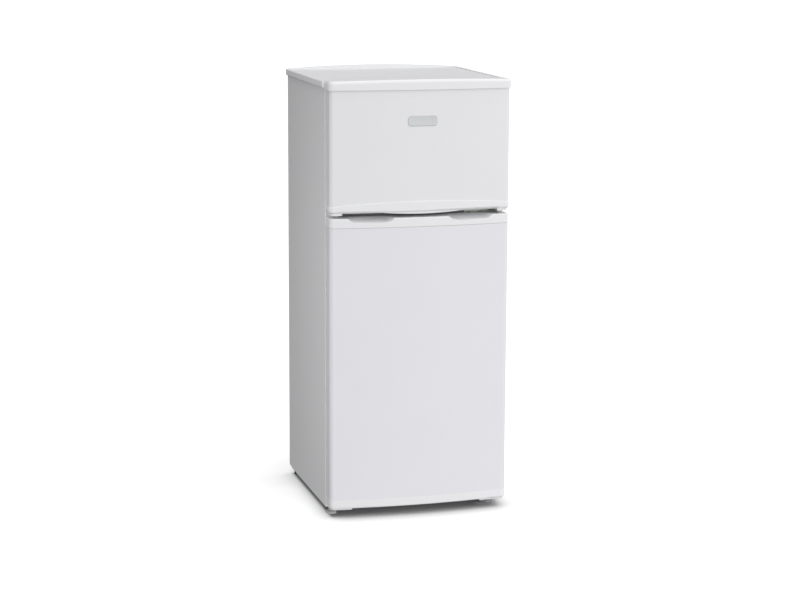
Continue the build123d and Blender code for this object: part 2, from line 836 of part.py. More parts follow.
def door_skin(low: float, high: float, seam_rise: float) -> Part:
    """Return a bent steel door skin with returns along its rear edges and an arched lower seam."""
    outer = door_block(low, high, 0, skin_back)
    inner = door_block(low, high, -sheet, skin_back)
    below = under_arch(low, seam_rise)
    with BuildPart() as skin:
        add(outer)
        add(inner, mode=Mode.SUBTRACT)
        with BuildSketch(Plane.XY.offset(low)):
            for side in (-1, 1):
                edge = side * half_width
                inside = side * (half_width - skin_return)
                panel(min(edge, inside), max(edge, inside), skin_back - sheet, skin_back)
        extrude(amount=high - low)
        if seam_rise > 0:
            add(below, mode=Mode.SUBTRACT)
    return skin.part


def lug_pair(low: float, high: float, left: float, right: float) -> Part:
    """Return the flat lugs under both ends of a door, set in from its outline."""
    with BuildPart() as lugs:
        with BuildSketch(Plane.XY.offset(low)):
            door_plan(-lug_set_in, skin_back, cap_rear_round)
            panel(-half_width + left, half_width - right, -overall_depth, 0, Mode.SUBTRACT)
        extrude(amount=high - low)
        fillet(faces().group_by(Axis.Z)[0].edges(), lug_edge_round)
    return lugs.part


def bottom_cap(
    low: float,
    lug_drop: float,
    lug_lengths: tuple[float, float],
    seam: float,
    seam_rise: float,
    proud: float,
    edge_round: float,
) -> Part:
    """Return a moulded lower door cap: end lugs, a rounded lower edge and a pocket for the foam."""
    base = low + lug_drop
    body = door_block(base, seam + seam_rise, proud, skin_back, cap_rear_round)
    below = under_arch(seam, seam_rise)
    pocket = door_block(base + cap_wall, seam + seam_rise, -cap_wall, skin_back - cap_wall)
    boss = bush_boss(base, low + pin_length + cap_wall)
    ends = lug_pair(low, base + cap_wall, *lug_lengths)
    seat = bush_seat(low, 1)
    with BuildPart() as cap:
        add(body)
        if seam_rise > 0:
            add(below, mode=Mode.INTERSECT)
            rim = faces().sort_by(Axis.Z)[-1].edges()
            fillet(rim.filter_by(lambda e: e.center().Y < skin_back - 0.5), swoosh_edge)
        rim = faces().sort_by(Axis.Z)[0].edges()
        fillet(rim.filter_by(lambda e: e.center().Y < skin_back - 0.5), edge_round)
        add(ends)
        add(pocket, mode=Mode.SUBTRACT)
        add(boss)
        add(seat, mode=Mode.SUBTRACT)
    return cap.part


keep(door_skin(foot_seam, fridge_seam - seam_gap, 0), "fridge_door_skin")
keep(door_skin(swoosh_seam, freezer_seam, swoosh_rise), "freezer_door_skin")
freezer_bottom_cap = bottom_cap(
    freezer_door_bottom,
    lug_drop_freezer,
    (freezer_lug, freezer_lug),
    swoosh_seam,
    swoosh_rise,
    swoosh_proud,
    freezer_edge_round,
)
keep(freezer_bottom_cap, "freezer_door_bottom_cap")
fridge_bottom_cap = bottom_cap(
    fridge_door_bottom,
    lug_drop_fridge,
    (fridge_lug_left, fridge_lug_right),
    foot_seam,
    0,
    0,
    fridge_edge_round,
)
keep(fridge_bottom_cap, "fridge_door_bottom_cap")

# Freezer top cap: crowned, rounded over, with a slot that the hinge arm swings through
slot_low = cabinet_top - arm_play
slot_high = cabinet_top + plate + arm_play
slot_radius = arm_radius + arm_play
overswing = radians(door_swing - 90.0)
slot_reach = hinge_inset + top_cap_proud + door_corner
crown_top = freezer_door_top + top_cap_crown
top_body = door_block(freezer_seam, crown_top, top_cap_proud, skin_back)
rear_corners = door_block(
    freezer_seam, crown_top, top_cap_proud, skin_back, top_cap_rear_round, top_cap_free_round
)
top_tongue = door_block(freezer_seam - cap_tongue, freezer_seam, -sheet, skin_back - sheet)
top_bush_end = slot_low - 0.5
top_pocket = door_block(
    freezer_seam - cap_tongue, slot_low - cap_wall, -cap_wall, skin_back - cap_wall
)
top_boss = bush_boss(freezer_seam - cap_tongue, slot_low - cap_wall)
with BuildPart() as freezer_door_top_cap:
    add(top_body)
    with BuildSketch(front_plane(skin_back)):
        edge = half_width + top_cap_proud
        with BuildLine():
            ThreePointArc(
                (-edge, freezer_door_top), (0, crown_top), (edge, freezer_door_top)
            )
            Polyline(
                (edge, freezer_door_top),
                (edge, freezer_seam),
                (-edge, freezer_seam),
                (-edge, freezer_door_top),
            )
        make_face()
    extrude(amount=overall_depth, both=True, mode=Mode.INTERSECT)
    crown = faces().sort_by(Axis.Z)[-1]
    rim = crown.edges().filter_by(lambda e: e.center().Y < skin_back - 0.5)
    fillet(rim, top_cap_round)
    add(rear_corners, mode=Mode.INTERSECT)
    add(top_tongue)
    add(top_pocket, mode=Mode.SUBTRACT)
    add(top_boss)
    with BuildSketch(Plane.XY.offset(slot_low)):
        disc(hinge_x, hinge_y, slot_radius)
        near = (hinge_x - slot_radius * sin(overswing), hinge_y - slot_radius * cos(overswing))
        far = (near[0] + slot_reach * cos(overswing), near[1] - slot_reach * sin(overswing))
        with BuildLine():
            Polyline(
                (hinge_x - slot_radius, hinge_y),
                (hinge_x - slot_radius, door_back),
                (far[0], door_back),
                far,
                near,
                close=True,
            )
        make_face()
    extrude(amount=slot_high - slot_low, mode=Mode.SUBTRACT)
    add(bush_seat(top_bush_end, -1), mode=Mode.SUBTRACT)
    with BuildSketch(Plane.XY.offset(top_bush_end)):
        disc(hinge_x, hinge_y, bush_flange)
    extrude(amount=slot_low - top_bush_end, mode=Mode.SUBTRACT)
keep(freezer_door_top_cap.part, "freezer_door_top_cap")

# Fridge top cap with two finger scoops in its front edge
scoop_x = half_width - scoop_inset - scoop_width / 2
pocket_top = fridge_door_top - scoop_depth - cap_wall
fridge_top_body = door_block(fridge_seam, fridge_door_top, 0, skin_back, cap_rear_round)
fridge_top_tongue = door_block(
    fridge_seam - seam_tongue, fridge_seam - seam_neck, -sheet, skin_back - sheet
)
neck_inset = sheet + seam_recess
fridge_top_neck = door_block(
    fridge_seam - seam_neck, fridge_seam, -neck_inset, skin_back - neck_inset
)
fridge_top_pocket = door_block(
    fridge_seam - seam_tongue, pocket_top, -cap_wall, skin_back - cap_wall
)
fridge_top_boss = bush_boss(fridge_door_top - pin_length - cap_wall, fridge_door_top)
with BuildPart() as fridge_door_top_cap:
    add(fridge_top_body)
    top_face = faces().sort_by(Axis.Z)[-1]
    fillet(top_face.edges().filter_by(lambda e: e.center().Y < skin_back - 0.5), cap_lip_round)
    add(fridge_top_tongue)
    add(fridge_top_neck)
    add(fridge_top_pocket, mode=Mode.SUBTRACT)
    add(fridge_top_boss)
    for side in (-1, 1):
        slope = radians(scoop_slope)
        mouth = Plane(
            origin=(side * scoop_x, door_edge_front - door_bow, fridge_door_top),
            x_dir=(1, 0, 0),
            z_dir=(0, -cos(slope), -sin(slope)),
        )
        with BuildSketch(mouth):
            with BuildLine():
                level = (1, 0)
                Spline(
                    (-scoop_width / 2, 0), (-scoop_floor / 2, -scoop_depth), tangents=[level, level]
                )
                Line((-scoop_floor / 2, -scoop_depth), (scoop_floor / 2, -scoop_depth))
                Spline(
                    (scoop_floor / 2, -scoop_depth), (scoop_width / 2, 0), tangents=[level, level]
                )
                Polyline(
                    (scoop_width / 2, 0),
                    (scoop_width / 2, scoop_width),
                    (-scoop_width / 2, scoop_width),
                    (-scoop_width / 2, 0),
                )
            make_face()
        extrude(amount=-2 * door_edge_depth, mode=Mode.SUBTRACT)
    add(bush_seat(fridge_door_top, -1), mode=Mode.SUBTRACT)
keep(fridge_door_top_cap.part, "fridge_door_top_cap")

with BuildPart() as freezer_door_bushes:
    add(bush(freezer_door_bottom, 1))
    add(bush(top_bush_end, -1))
keep(freezer_door_bushes.part, "freezer_door_bushes")

with BuildPart() as fridge_door_bushes:
    add(bush(fridge_door_bottom, 1))
    add(bush(fridge_door_top, -1))
keep(fridge_door_bushes.part, "fridge_door_bushes")


def door_liner(
    low: float, high: float, half_span: float, sill: float, head: float, lugs: list[float]
) -> Part:
    """Return a door liner: flat flange, raised dyke round a recess, and lugs for the balconies."""
    outer_half = half_span - dyke_play
    outer_low = sill + dyke_play
    outer_high = head - dyke_play
    inner_half_span = outer_half - dyke_width
    inner_low = outer_low + dyke_width
    inner_high = outer_high - dyke_width
    fill = dyke_fill(half_span, sill, head)
    with BuildPart() as moulding:
        with BuildSketch(front_plane(skin_back)):
            rounded(-half_width + liner_inset, half_width - liner_inset, low, high, 3.0)
        extrude(amount=-liner_wall)
        with BuildSketch(front_plane(door_back)):
            rounded(-outer_half, outer_half, outer_low, outer_high, dyke_round)
        extrude(amount=-dyke_height, taper=dyke_taper)
        with BuildSketch(front_plane(door_back - recess_depth - liner_wall)):
            grown = inner_half_span + liner_wall
            pan_round = dyke_round / 2 + liner_wall
            rounded(-grown, grown, inner_low - liner_wall, inner_high + liner_wall, pan_round)
        extrude(amount=-recess_depth - liner_wall)
        add(fill, mode=Mode.SUBTRACT)
        with BuildSketch(front_plane(door_back - recess_depth)):
            rounded(-inner_half_span, inner_half_span, inner_low, inner_high, dyke_round / 2)
        extrude(amount=-recess_depth - dyke_height - 1, mode=Mode.SUBTRACT)
        for lug_top in lugs:
            for side in (-1, 1):
                with BuildSketch(Plane.YZ.offset(side * inner_half_span)):
                    lug_y = door_back + dyke_height / 2 - lug_length / 2
                    rounded(lug_y, lug_y + lug_length, lug_top - lug_thickness, lug_top, 2.0)
                extrude(amount=-side * lug_reach)
    return moulding.part


def dyke_fill(half_span: float, sill: float, head: float) -> Part:
    """Return the foam-filled space inside a door liner's dyke."""
    outer_half = half_span - dyke_play - liner_wall
    outer_low = sill + dyke_play + liner_wall
    outer_high = head - dyke_play - liner_wall
    core = half_span - dyke_play - dyke_width + liner_wall
    core_low = sill + dyke_play + dyke_width - liner_wall
    core_high = head - dyke_play - dyke_width + liner_wall
    with BuildPart() as filling:
        with BuildSketch(front_plane(skin_back)):
            rounded(-outer_half, outer_half, outer_low, outer_high, dyke_round - liner_wall)
        extrude(amount=-dyke_height, taper=dyke_taper)
        with BuildSketch(front_plane(skin_back)):
            rounded(-core, core, core_low, core_high, dyke_round / 2 + liner_wall)
        extrude(amount=-2 * dyke_height, mode=Mode.SUBTRACT)
    return filling.part


def recess_pan(half_span: float, sill: float, head: float) -> Part:
    """Return the space that a door liner's recessed panel takes out of the door's foam."""
    reach = half_span - dyke_play - dyke_width + liner_wall
    pan_low = sill + dyke_play + dyke_width - liner_wall
    pan_high = head - dyke_play - dyke_width + liner_wall
    with BuildPart() as pan:
        with BuildSketch(front_plane(door_back - recess_depth - liner_wall)):
            rounded(-reach, reach, pan_low, pan_high, dyke_round / 2 + liner_wall)
        extrude(amount=-recess_depth - dyke_height)
    return pan.part


balcony_levels = {"bottle_balcony": 110.0, "balcony_middle": 395.0, "balcony_upper": 575.0}
balcony_heights = {"bottle_balcony": 100.0, "balcony_middle": 62.0, "balcony_upper": 62.0}
lug_tops = [level + lug_lift for level in balcony_levels.values()]
fridge_liner_low = fridge_door_bottom + lug_drop_fridge + 4.0
fridge_liner_high = fridge_door_top - 4.0
freezer_liner_low = freezer_door_bottom + 4.0
freezer_liner_high = freezer_seam - 1.0
keep(
    door_liner(fridge_liner_low, fridge_liner_high, fridge_half, fridge_floor, fridge_ceiling, lug_tops),
    "fridge_door_liner",
)
bar_level = freezer_floor + bar_rise
keep(
    door_liner(
        freezer_liner_low, freezer_liner_high, freezer_half, freezer_floor, freezer_ceiling, [bar_level]
    ),
    "freezer_door_liner",
)

fridge_core = door_block(foot_seam, fridge_seam, -sheet, skin_back - sheet)
fridge_foot_fill = door_block(
    fridge_door_bottom + lug_drop_fridge + cap_wall, foot_seam, -cap_wall, skin_back - cap_wall
)
with BuildPart() as fridge_door_foam:
    add(fridge_core)
    add(fridge_foot_fill)
    add(fridge_top_pocket)
    with BuildSketch(front_plane(skin_back - sheet)):
        panel(-half_width + skin_return, half_width - skin_return, foot_seam, fridge_seam)
    extrude(amount=-sheet)
    add(dyke_fill(fridge_half, fridge_floor, fridge_ceiling))
    add(recess_pan(fridge_half, fridge_floor, fridge_ceiling), mode=Mode.SUBTRACT)
    add(fridge_bottom_cap, mode=Mode.SUBTRACT)
    add(fridge_door_top_cap.part, mode=Mode.SUBTRACT)
    add(bush_seat(fridge_door_bottom, 1), mode=Mode.SUBTRACT)
    add(bush_seat(fridge_door_top, -1), mode=Mode.SUBTRACT)
keep(fridge_door_foam.part, "fridge_door_foam")

freezer_core = door_block(
    freezer_door_bottom + lug_drop_freezer + cap_wall,
    freezer_seam - cap_tongue,
    -sheet,
    skin_back - sheet,
)
with BuildPart() as freezer_door_foam:
    add(freezer_core)
    with BuildSketch(front_plane(skin_back - sheet)):
        panel(
            -half_width + skin_return,
            half_width - skin_return,
            swoosh_seam + swoosh_rise,
            freezer_seam - cap_tongue,
        )
    extrude(amount=-sheet)
    add(dyke_fill(freezer_half, freezer_floor, freezer_ceiling))
    add(recess_pan(freezer_half, freezer_floor, freezer_ceiling), mode=Mode.SUBTRACT)
    add(top_pocket)
    add(freezer_bottom_cap, mode=Mode.SUBTRACT)
    add(freezer_door_top_cap.part, mode=Mode.SUBTRACT)
    add(bush_seat(freezer_door_bottom, 1), mode=Mode.SUBTRACT)
    add(bush_seat(top_bush_end, -1), mode=Mode.SUBTRACT)
keep(freezer_door_foam.part, "freezer_door_foam")


def gasket(low: float, high: float) -> Part:
    """Return a door seal: a base strip, a narrow bellows and a magnet head that meets the cabinet."""
    reach = half_width - gasket_inset
    head = door_gap - gasket_play - gasket_base - gasket_neck
    steps = [
        (door_back, gasket_width, gasket_base),
        (door_back + gasket_base, gasket_neck_width, gasket_neck),
        (door_back + gasket_base + gasket_neck, gasket_width - 2.0, head),
    ]
    with BuildPart() as seal:
        for start, width, depth in steps:
            skip = (gasket_width - width) / 2
            with BuildSketch(front_plane(start)):
                rounded(-reach + skip, reach - skip, low + skip, high - skip, gasket_round + width)
                inside = skip + width
                rounded(
                    -reach + inside,
                    reach - inside,
                    low + inside,
                    high - inside,
                    gasket_round,
                    Mode.SUBTRACT,
                )
            extrude(amount=-depth)
    return seal.part


seal_reach = rail_height / 2 - 3.0
keep(gasket(fridge_door_bottom + 14.0, gap_middle - seal_reach + gasket_width), "fridge_door_gasket")
keep(gasket(gap_middle + seal_reach - gasket_width, freezer_seam - 5.0), "freezer_door_gasket")


def balcony(level: float, height: float) -> Part:
    """Return a door balcony: an open tray with a drafted front wall and slots that hang on the lugs."""
    reach = fridge_half - dyke_play - dyke_width - balcony_play
    back = door_back - recess_depth + balcony_play
    front = door_back + balcony_reach
    with BuildPart() as tray:
        with BuildSketch(Plane.XY.offset(level)):
            panel(-reach, reach, back, front)
            fillet(vertices().group_by(Axis.Y)[-1], balcony_round)
        extrude(amount=height)
        with BuildSketch(Plane.XY.offset(level + balcony_wall)):
            inside = reach - balcony_wall
            panel(-inside, inside, back + balcony_wall, front - balcony_wall)
            fillet(vertices().group_by(Axis.Y)[-1], balcony_round - balcony_wall)
        extrude(amount=height, mode=Mode.SUBTRACT)
        with BuildSketch(Plane.YZ.offset(-cabinet_width)):
            with BuildLine():
                Polyline(
                    (back - 1, level + height + 1),
                    (back - 1, level + height * 0.45),
                    (back + 2 * dyke_height, level + height),
                    (back + 2 * dyke_height, level + height + 1),
                    close=True,
                )
            make_face()
        extrude(amount=2 * cabinet_width, mode=Mode.SUBTRACT)
        for side in (-1, 1):
            with BuildSketch(Plane.YZ.offset(side * (reach - lug_reach - 1))):
                slot_y = door_back + dyke_height / 2 - lug_length / 2 - seat_play
                panel(slot_y, slot_y + lug_length + 2 * seat_play, level - 1, level + lug_lift + seat_play)
            extrude(amount=side * 2 * lug_reach, mode=Mode.SUBTRACT)
    return tray.part


for name, level in balcony_levels.items():
    keep(balcony(level, balcony_heights[name]), name)

bar_half = freezer_half - dyke_play - dyke_width - seat_play
bar_height = 26.0
bar_wall = 2.5
with BuildPart() as freezer_door_bar:
    with BuildSketch(Plane.YZ.offset(-bar_half)):
        bar_y = door_back + dyke_height / 2 - lug_length / 2
        rounded(bar_y, bar_y + lug_length, bar_level, bar_level + bar_height, 3.0)
        rounded(
            bar_y + bar_wall,
            bar_y + lug_length - bar_wall,
            bar_level - 1,
            bar_level + bar_height - bar_wall,
            1.5,
            Mode.SUBTRACT,
        )
    extrude(amount=2 * bar_half)
keep(freezer_door_bar.part, "freezer_door_bar")


# Shelves and the crisper
shelf_half = fridge_half - shelf_play
shelf_front = cabinet_front + shelf_set_back


def glass(level: float, front: float) -> Part:
    """Return a glass shelf that lies on the liner's ribs."""
    with BuildPart() as pane:
        with BuildSketch(Plane.XY.offset(level)):
            rounded(-shelf_half, shelf_half, front, shelf_rear, 6.0)
        extrude(amount=shelf_thickness)
    return pane.part


keep(glass(upper_shelf, shelf_front), "shelf_glass_upper")
keep(glass(lower_shelf, shelf_front), "shelf_glass_lower")
keep(glass(crisper_cover, shelf_front), "crisper_cover_glass")

with BuildPart() as shelf_trims:
    for level in (upper_shelf, lower_shelf, crisper_cover):
        with BuildSketch(Plane.YZ.offset(-shelf_half + rib_reach + shelf_play)):
            low = level + shelf_thickness / 2 - trim_height / 2
            rounded(shelf_front - trim_wall, shelf_front + trim_depth, low, low + trim_height, 2.0)
            panel(shelf_front, shelf_front + 2 * trim_depth, level, level + shelf_thickness, Mode.SUBTRACT)
        extrude(amount=2 * (shelf_half - rib_reach - shelf_play))
keep(shelf_trims.part, "shelf_trims")

crisper_half = fridge_half - rib_reach - crisper_play
crisper_low = fridge_floor + 1.0
crisper_high = crisper_cover - trim_height / 2 - crisper_play
crisper_y_low = cabinet_front + crisper_front
crisper_y_high = step_front - crisper_play
crisper_draft = 8.0  # how far each wall leans out from floor to rim
crisper_height = crisper_high - crisper_low
crisper_lean = degrees(atan2(crisper_draft, crisper_height))
with BuildPart() as crisper_drawer:
    for inset, mode in ((0.0, Mode.ADD), (crisper_wall, Mode.SUBTRACT)):
        with BuildSketch(Plane.XY.offset(crisper_low + inset)):
            floor_half = crisper_half - crisper_draft - inset
            floor_front = crisper_y_low + crisper_lip / 2 + crisper_draft + inset
            floor_rear = crisper_y_high - crisper_draft - inset
            rounded(-floor_half, floor_half, floor_front, floor_rear, 14.0 - inset)
        extrude(amount=crisper_height - inset, taper=-crisper_lean, mode=mode)
    with BuildSketch(front_plane(crisper_y_low + crisper_lip / 2 + crisper_wall)):
        rounded(-crisper_half, crisper_half, crisper_high - 2 * crisper_lip, crisper_high, 3.0)
    extrude(amount=crisper_lip / 2 + crisper_wall)
keep(crisper_drawer.part, "crisper_drawer")

# Thermostat, lamp and door switch on the right-hand wall
housing_y = cabinet_front + housing_front
housing_left = fridge_half - housing_reach
housing_high = housing_low + housing_height
housing_mid = housing_low + housing_height / 2
knob_axis_y = housing_y + knob_y
lamp_axis_y = housing_y + lamp_y
button_x = fridge_half - dyke_play - dyke_width / 2
button_z = housing_high - 14.0
cap_radius = 7.0  # screw cap of the bulb
bulb_x = fridge_half - bulb_radius - 9.0
bulb_base = lamp_axis_y + bulb_length / 2
with BuildPart() as thermostat_housing:
    with BuildSketch(Plane.YZ.offset(housing_left)):
        rounded(housing_y, housing_y + housing_length, housing_low, housing_high, housing_round)
    extrude(amount=housing_reach)
    chamfer(edges().group_by(Axis.X)[0], 4.0)
    with BuildSketch(Plane.YZ.offset(housing_left + housing_wall)):
        rounded(
            housing_y + housing_wall,
            housing_y + housing_length - housing_wall,
            housing_low + housing_wall,
            housing_high - housing_wall,
            housing_round - housing_wall,
        )
    extrude(amount=housing_reach, mode=Mode.SUBTRACT)
    with BuildSketch(Plane.YZ.offset(housing_left)):
        with Locations((lamp_axis_y, housing_mid)):
            RectangleRounded(cover_length, cover_height, 8.0)
        disc(knob_axis_y, housing_mid, knob_stem + pin_play)
    extrude(amount=housing_wall, mode=Mode.SUBTRACT)
    with BuildSketch(front_plane(housing_y)):
        disc(button_x, button_z, button_radius + pin_play)
    extrude(amount=-housing_wall, mode=Mode.SUBTRACT)
    with BuildSketch(front_plane(housing_y + housing_wall)):
        disc(button_x, button_z, button_radius + 2.5)
        disc(button_x, button_z, button_radius + pin_play, Mode.SUBTRACT)
    extrude(amount=-button_length)
    with BuildSketch(front_plane(housing_y + housing_length - housing_wall)):
        disc(bulb_x, housing_mid, cap_radius + 3.0)
        disc(bulb_x, housing_mid, cap_radius + pin_play, Mode.SUBTRACT)
    extrude(amount=housing_y + housing_length - housing_wall - bulb_base - 2.0)
keep(thermostat_housing.part, "thermostat_housing")

with BuildPart() as lamp_cover:
    with BuildSketch(Plane.YZ.offset(housing_left)):
        with Locations((lamp_axis_y, housing_mid)):
            RectangleRounded(cover_length - 0.6, cover_height - 0.6, 8.0)
    extrude(amount=-5.0, taper=12)
    with BuildSketch(Plane.YZ.offset(housing_left)):
        with Locations((lamp_axis_y, housing_mid)):
            RectangleRounded(cover_length - 0.6, cover_height - 0.6, 8.0)
    extrude(amount=housing_wall)
    with BuildSketch(Plane.YZ.offset(housing_left + housing_wall)):
        with Locations((lamp_axis_y, housing_mid)):
            RectangleRounded(cover_length - 6.0, cover_height - 6.0, 5.0)
    extrude(amount=-housing_wall - 3.0, mode=Mode.SUBTRACT)
keep(lamp_cover.part, "lamp_cover")

with BuildPart() as lamp_bulb:
    tip = bulb_base - bulb_length
    with BuildSketch(Plane.XY.offset(housing_mid)):
        with BuildLine():
            Polyline(
                (bulb_x, tip),
                (bulb_x, housing_y + housing_length - housing_wall),
                (bulb_x + cap_radius, housing_y + housing_length - housing_wall),
                (bulb_x + cap_radius, bulb_base),
                (bulb_x + bulb_radius, tip + 1.2 * bulb_radius),
                (bulb_x + 0.9 * bulb_radius, tip + 0.5 * bulb_radius),
                (bulb_x + 0.5 * bulb_radius, tip + 0.1 * bulb_radius),
                close=True,
            )
        make_face()
    revolve(axis=Axis((bulb_x, 0, housing_mid), (0, 1, 0)))
keep(lamp_bulb.part, "lamp_bulb")

with BuildPart() as thermostat_knob:
    with BuildSketch(Plane.YZ.offset(housing_left - 0.4)):
        disc(knob_axis_y, housing_mid, knob_radius)
    extrude(amount=-knob_height, taper=5)
    chamfer(edges().group_by(Axis.X)[0], 1.5)
    with BuildSketch(Plane.YZ.offset(housing_left - 0.4 - knob_height)):
        with Locations((knob_axis_y, housing_mid + knob_radius * 0.62)):
            SlotOverall(9.0, 2.4, rotation=90)
    extrude(amount=1.0, mode=Mode.SUBTRACT)
    with BuildSketch(Plane.YZ.offset(housing_left - 0.4)):
        disc(knob_axis_y, housing_mid, knob_stem)
    extrude(amount=12.0)
keep(thermostat_knob.part, "thermostat_knob")

button_tip = door_back + dyke_height + seat_play
with BuildPart() as door_switch_button:
    with BuildSketch(front_plane(button_tip + button_length + housing_wall)):
        disc(button_x, button_z, button_radius)
    extrude(amount=button_length + housing_wall)
    chamfer(edges().group_by(Axis.Y)[0], 1.5)
keep(door_switch_button.part, "door_switch_button")

# Freezer wire rack
rack_half = freezer_half - shelf_play - rack_rod
with BuildPart() as freezer_rack:
    frame_z = rack_height + rack_rod
    with BuildLine() as frame_line:
        FilletPolyline(
            (-rack_half, rack_front + rack_rod, frame_z),
            (rack_half, rack_front + rack_rod, frame_z),
            (rack_half, rack_rear - rack_rod, frame_z),
            (-rack_half, rack_rear - rack_rod, frame_z),
            radius=12.0,
            close=True,
        )
    start = frame_line.wire() @ 0
    heading = frame_line.wire() % 0
    with BuildSketch(Plane(origin=start, z_dir=heading)):
        RegularPolygon(rack_rod, tube_sides)
    sweep(path=frame_line.wire())
    with BuildSketch(front_plane(rack_front + rack_rod)):
        with Locations((0, frame_z)):
            with GridLocations(2 * rack_half / (rack_count + 1), 0, rack_count, 1):
                RegularPolygon(rack_wire, 6)
    extrude(amount=-(rack_rear - rack_front - 2 * rack_rod))
keep(freezer_rack.part, "freezer_rack")

# Machine bay
compressor_y = cabinet_rear - bay_depth / 2 + 4.0
mount_xs = [compressor_x - mount_pitch_x / 2, compressor_x + mount_pitch_x / 2]
mount_ys = [compressor_y - mount_pitch_y / 2, compressor_y + mount_pitch_y / 2]
mount_top = plate_height + plate_sheet + mount_height
with BuildPart() as base_plate:
    plate_front = bay_front - plate_tail
    plate_rear = cabinet_rear - 2 * sheet
    with BuildSketch(Plane.XY.offset(plate_height)):
        panel(-inner_half, inner_half, plate_front, plate_rear)
        for mount_x in mount_xs:
            for mount_y in mount_ys:
                disc(mount_x, mount_y, mount_neck, Mode.SUBTRACT)
    extrude(amount=plate_sheet)
    for side in (-1, 1):
        with BuildSketch(Plane.YZ.offset(side * inner_half)):
            panel(bay_front + sheet, plate_rear, plate_height, plate_height + plate_flange)
        extrude(amount=-side * plate_sheet)
    with BuildSketch(Plane.YZ.offset(-inner_half)):
        panel(plate_front, plate_front + plate_sheet, plate_height, floor_height - sheet)
        panel(plate_rear - plate_sheet, plate_rear, plate_height, plate_height + plate_flange / 2)
    extrude(amount=2 * inner_half)
keep(base_plate.part, "base_plate")

with BuildPart() as rear_feet:
    for side in (-1, 1):
        with BuildSketch(Plane.XY):
            disc(side * (half_width - rear_foot_set_in), plate_rear - rear_foot_inset, rear_foot_radius)
        with BuildSketch(Plane.XY.offset(plate_height)):
            top_radius = rear_foot_radius - rear_foot_taper
            disc(side * (half_width - rear_foot_set_in), plate_rear - rear_foot_inset, top_radius)
        loft()
keep(rear_feet.part, "rear_feet")

compressor_top = compressor_bottom + compressor_height
weld_level = compressor_bottom + compressor_height * 0.52


def mount_locations() -> list[tuple[float, float]]:
    """Return the plan positions of the four rubber mounts."""
    return [(x, y) for x in mount_xs for y in mount_ys]


with BuildPart() as compressor:
    with BuildSketch(Plane.XY.offset(compressor_bottom)):
        with Locations((compressor_x, compressor_y)):
            RectangleRounded(compressor_length, compressor_depth, compressor_corner)
    extrude(amount=compressor_height)
    fillet(faces().sort_by(Axis.Z)[-1].edges(), compressor_round)
    chamfer(faces().sort_by(Axis.Z)[0].edges(), compressor_round / 2)
    with BuildSketch(Plane.XY.offset(weld_level)):
        with Locations((compressor_x, compressor_y)):
            RectangleRounded(
                compressor_length + 2 * weld_rim,
                compressor_depth + 2 * weld_rim,
                compressor_corner + weld_rim,
            )
    extrude(amount=weld_height)
    with BuildSketch(Plane.XY.offset(mount_top)):
        rounded(
            mount_xs[0] - foot_margin,
            mount_xs[1] + foot_margin,
            mount_ys[0] - foot_margin,
            mount_ys[1] + foot_margin,
            foot_margin,
        )
        for x, y in mount_locations():
            disc(x, y, bolt_radius + mount_play, Mode.SUBTRACT)
    extrude(amount=foot_sheet)
keep(compressor.part, "compressor")

with BuildPart() as compressor_mounts:
    for x, y in mount_locations():
        with BuildSketch(Plane.XY.offset(plate_height + plate_sheet)):
            disc(x, y, mount_radius)
        extrude(amount=mount_height)
        with BuildSketch(Plane.XY.offset(plate_height - mount_tail)):
            disc(x, y, mount_neck - mount_play)
        extrude(amount=mount_tail + plate_sheet)
        with BuildSketch(Plane.XY.offset(plate_height - mount_tail)):
            disc(x, y, bolt_radius + mount_play)
        extrude(amount=mount_top, mode=Mode.SUBTRACT)
keep(compressor_mounts.part, "compressor_mounts")

with BuildPart() as compressor_bolts:
    for x, y in mount_locations():
        with BuildSketch(Plane.XY.offset(plate_height - mount_tail - bolt_head)):
            with Locations((x, y)):
                RegularPolygon(bolt_head_radius, 6)
        extrude(amount=bolt_head)
        with BuildSketch(Plane.XY.offset(plate_height - mount_tail)):
            disc(x, y, bolt_radius)
        extrude(amount=mount_tail + plate_sheet + mount_height + foot_sheet + bolt_head + 2.0)
        with BuildSketch(Plane.XY.offset(mount_top + foot_sheet)):
            with Locations((x, y)):
                RegularPolygon(bolt_head_radius, 6)
        extrude(amount=bolt_head)
keep(compressor_bolts.part, "compressor_bolts")

relay_low = weld_level - relay_height - 2.0
with BuildPart() as relay_box:
    with BuildSketch(Plane.XY.offset(relay_low)):
        left_end = compressor_x - compressor_length / 2
        rounded(
            left_end - relay_length,
            left_end + compressor_round,
            compressor_y - relay_width / 2,
            compressor_y + relay_width / 2,
            6.0,
        )
        with Locations((compressor_x, compressor_y)):
            RectangleRounded(
                compressor_length + 2 * mount_play,
                compressor_depth + 2 * mount_play,
                compressor_corner,
                mode=Mode.SUBTRACT,
            )
    extrude(amount=relay_height)
    chamfer(edges().group_by(Axis.Z)[-1].sort_by(Axis.X)[0], 4.0)
keep(relay_box.part, "relay_box")

with BuildPart() as drip_tray:
    with BuildSketch(Plane.XY.offset(compressor_top)):
        with Locations((compressor_x, compressor_y)):
            RectangleRounded(tray_length, tray_depth, 12.0)
    extrude(amount=tray_height)
    with BuildSketch(Plane.XY.offset(compressor_top + tray_wall)):
        with Locations((compressor_x, compressor_y)):
            RectangleRounded(tray_length - 2 * tray_wall, tray_depth - 2 * tray_wall, 12.0 - tray_wall)
    extrude(amount=tray_height, mode=Mode.SUBTRACT)
keep(drip_tray.part, "drip_tray")

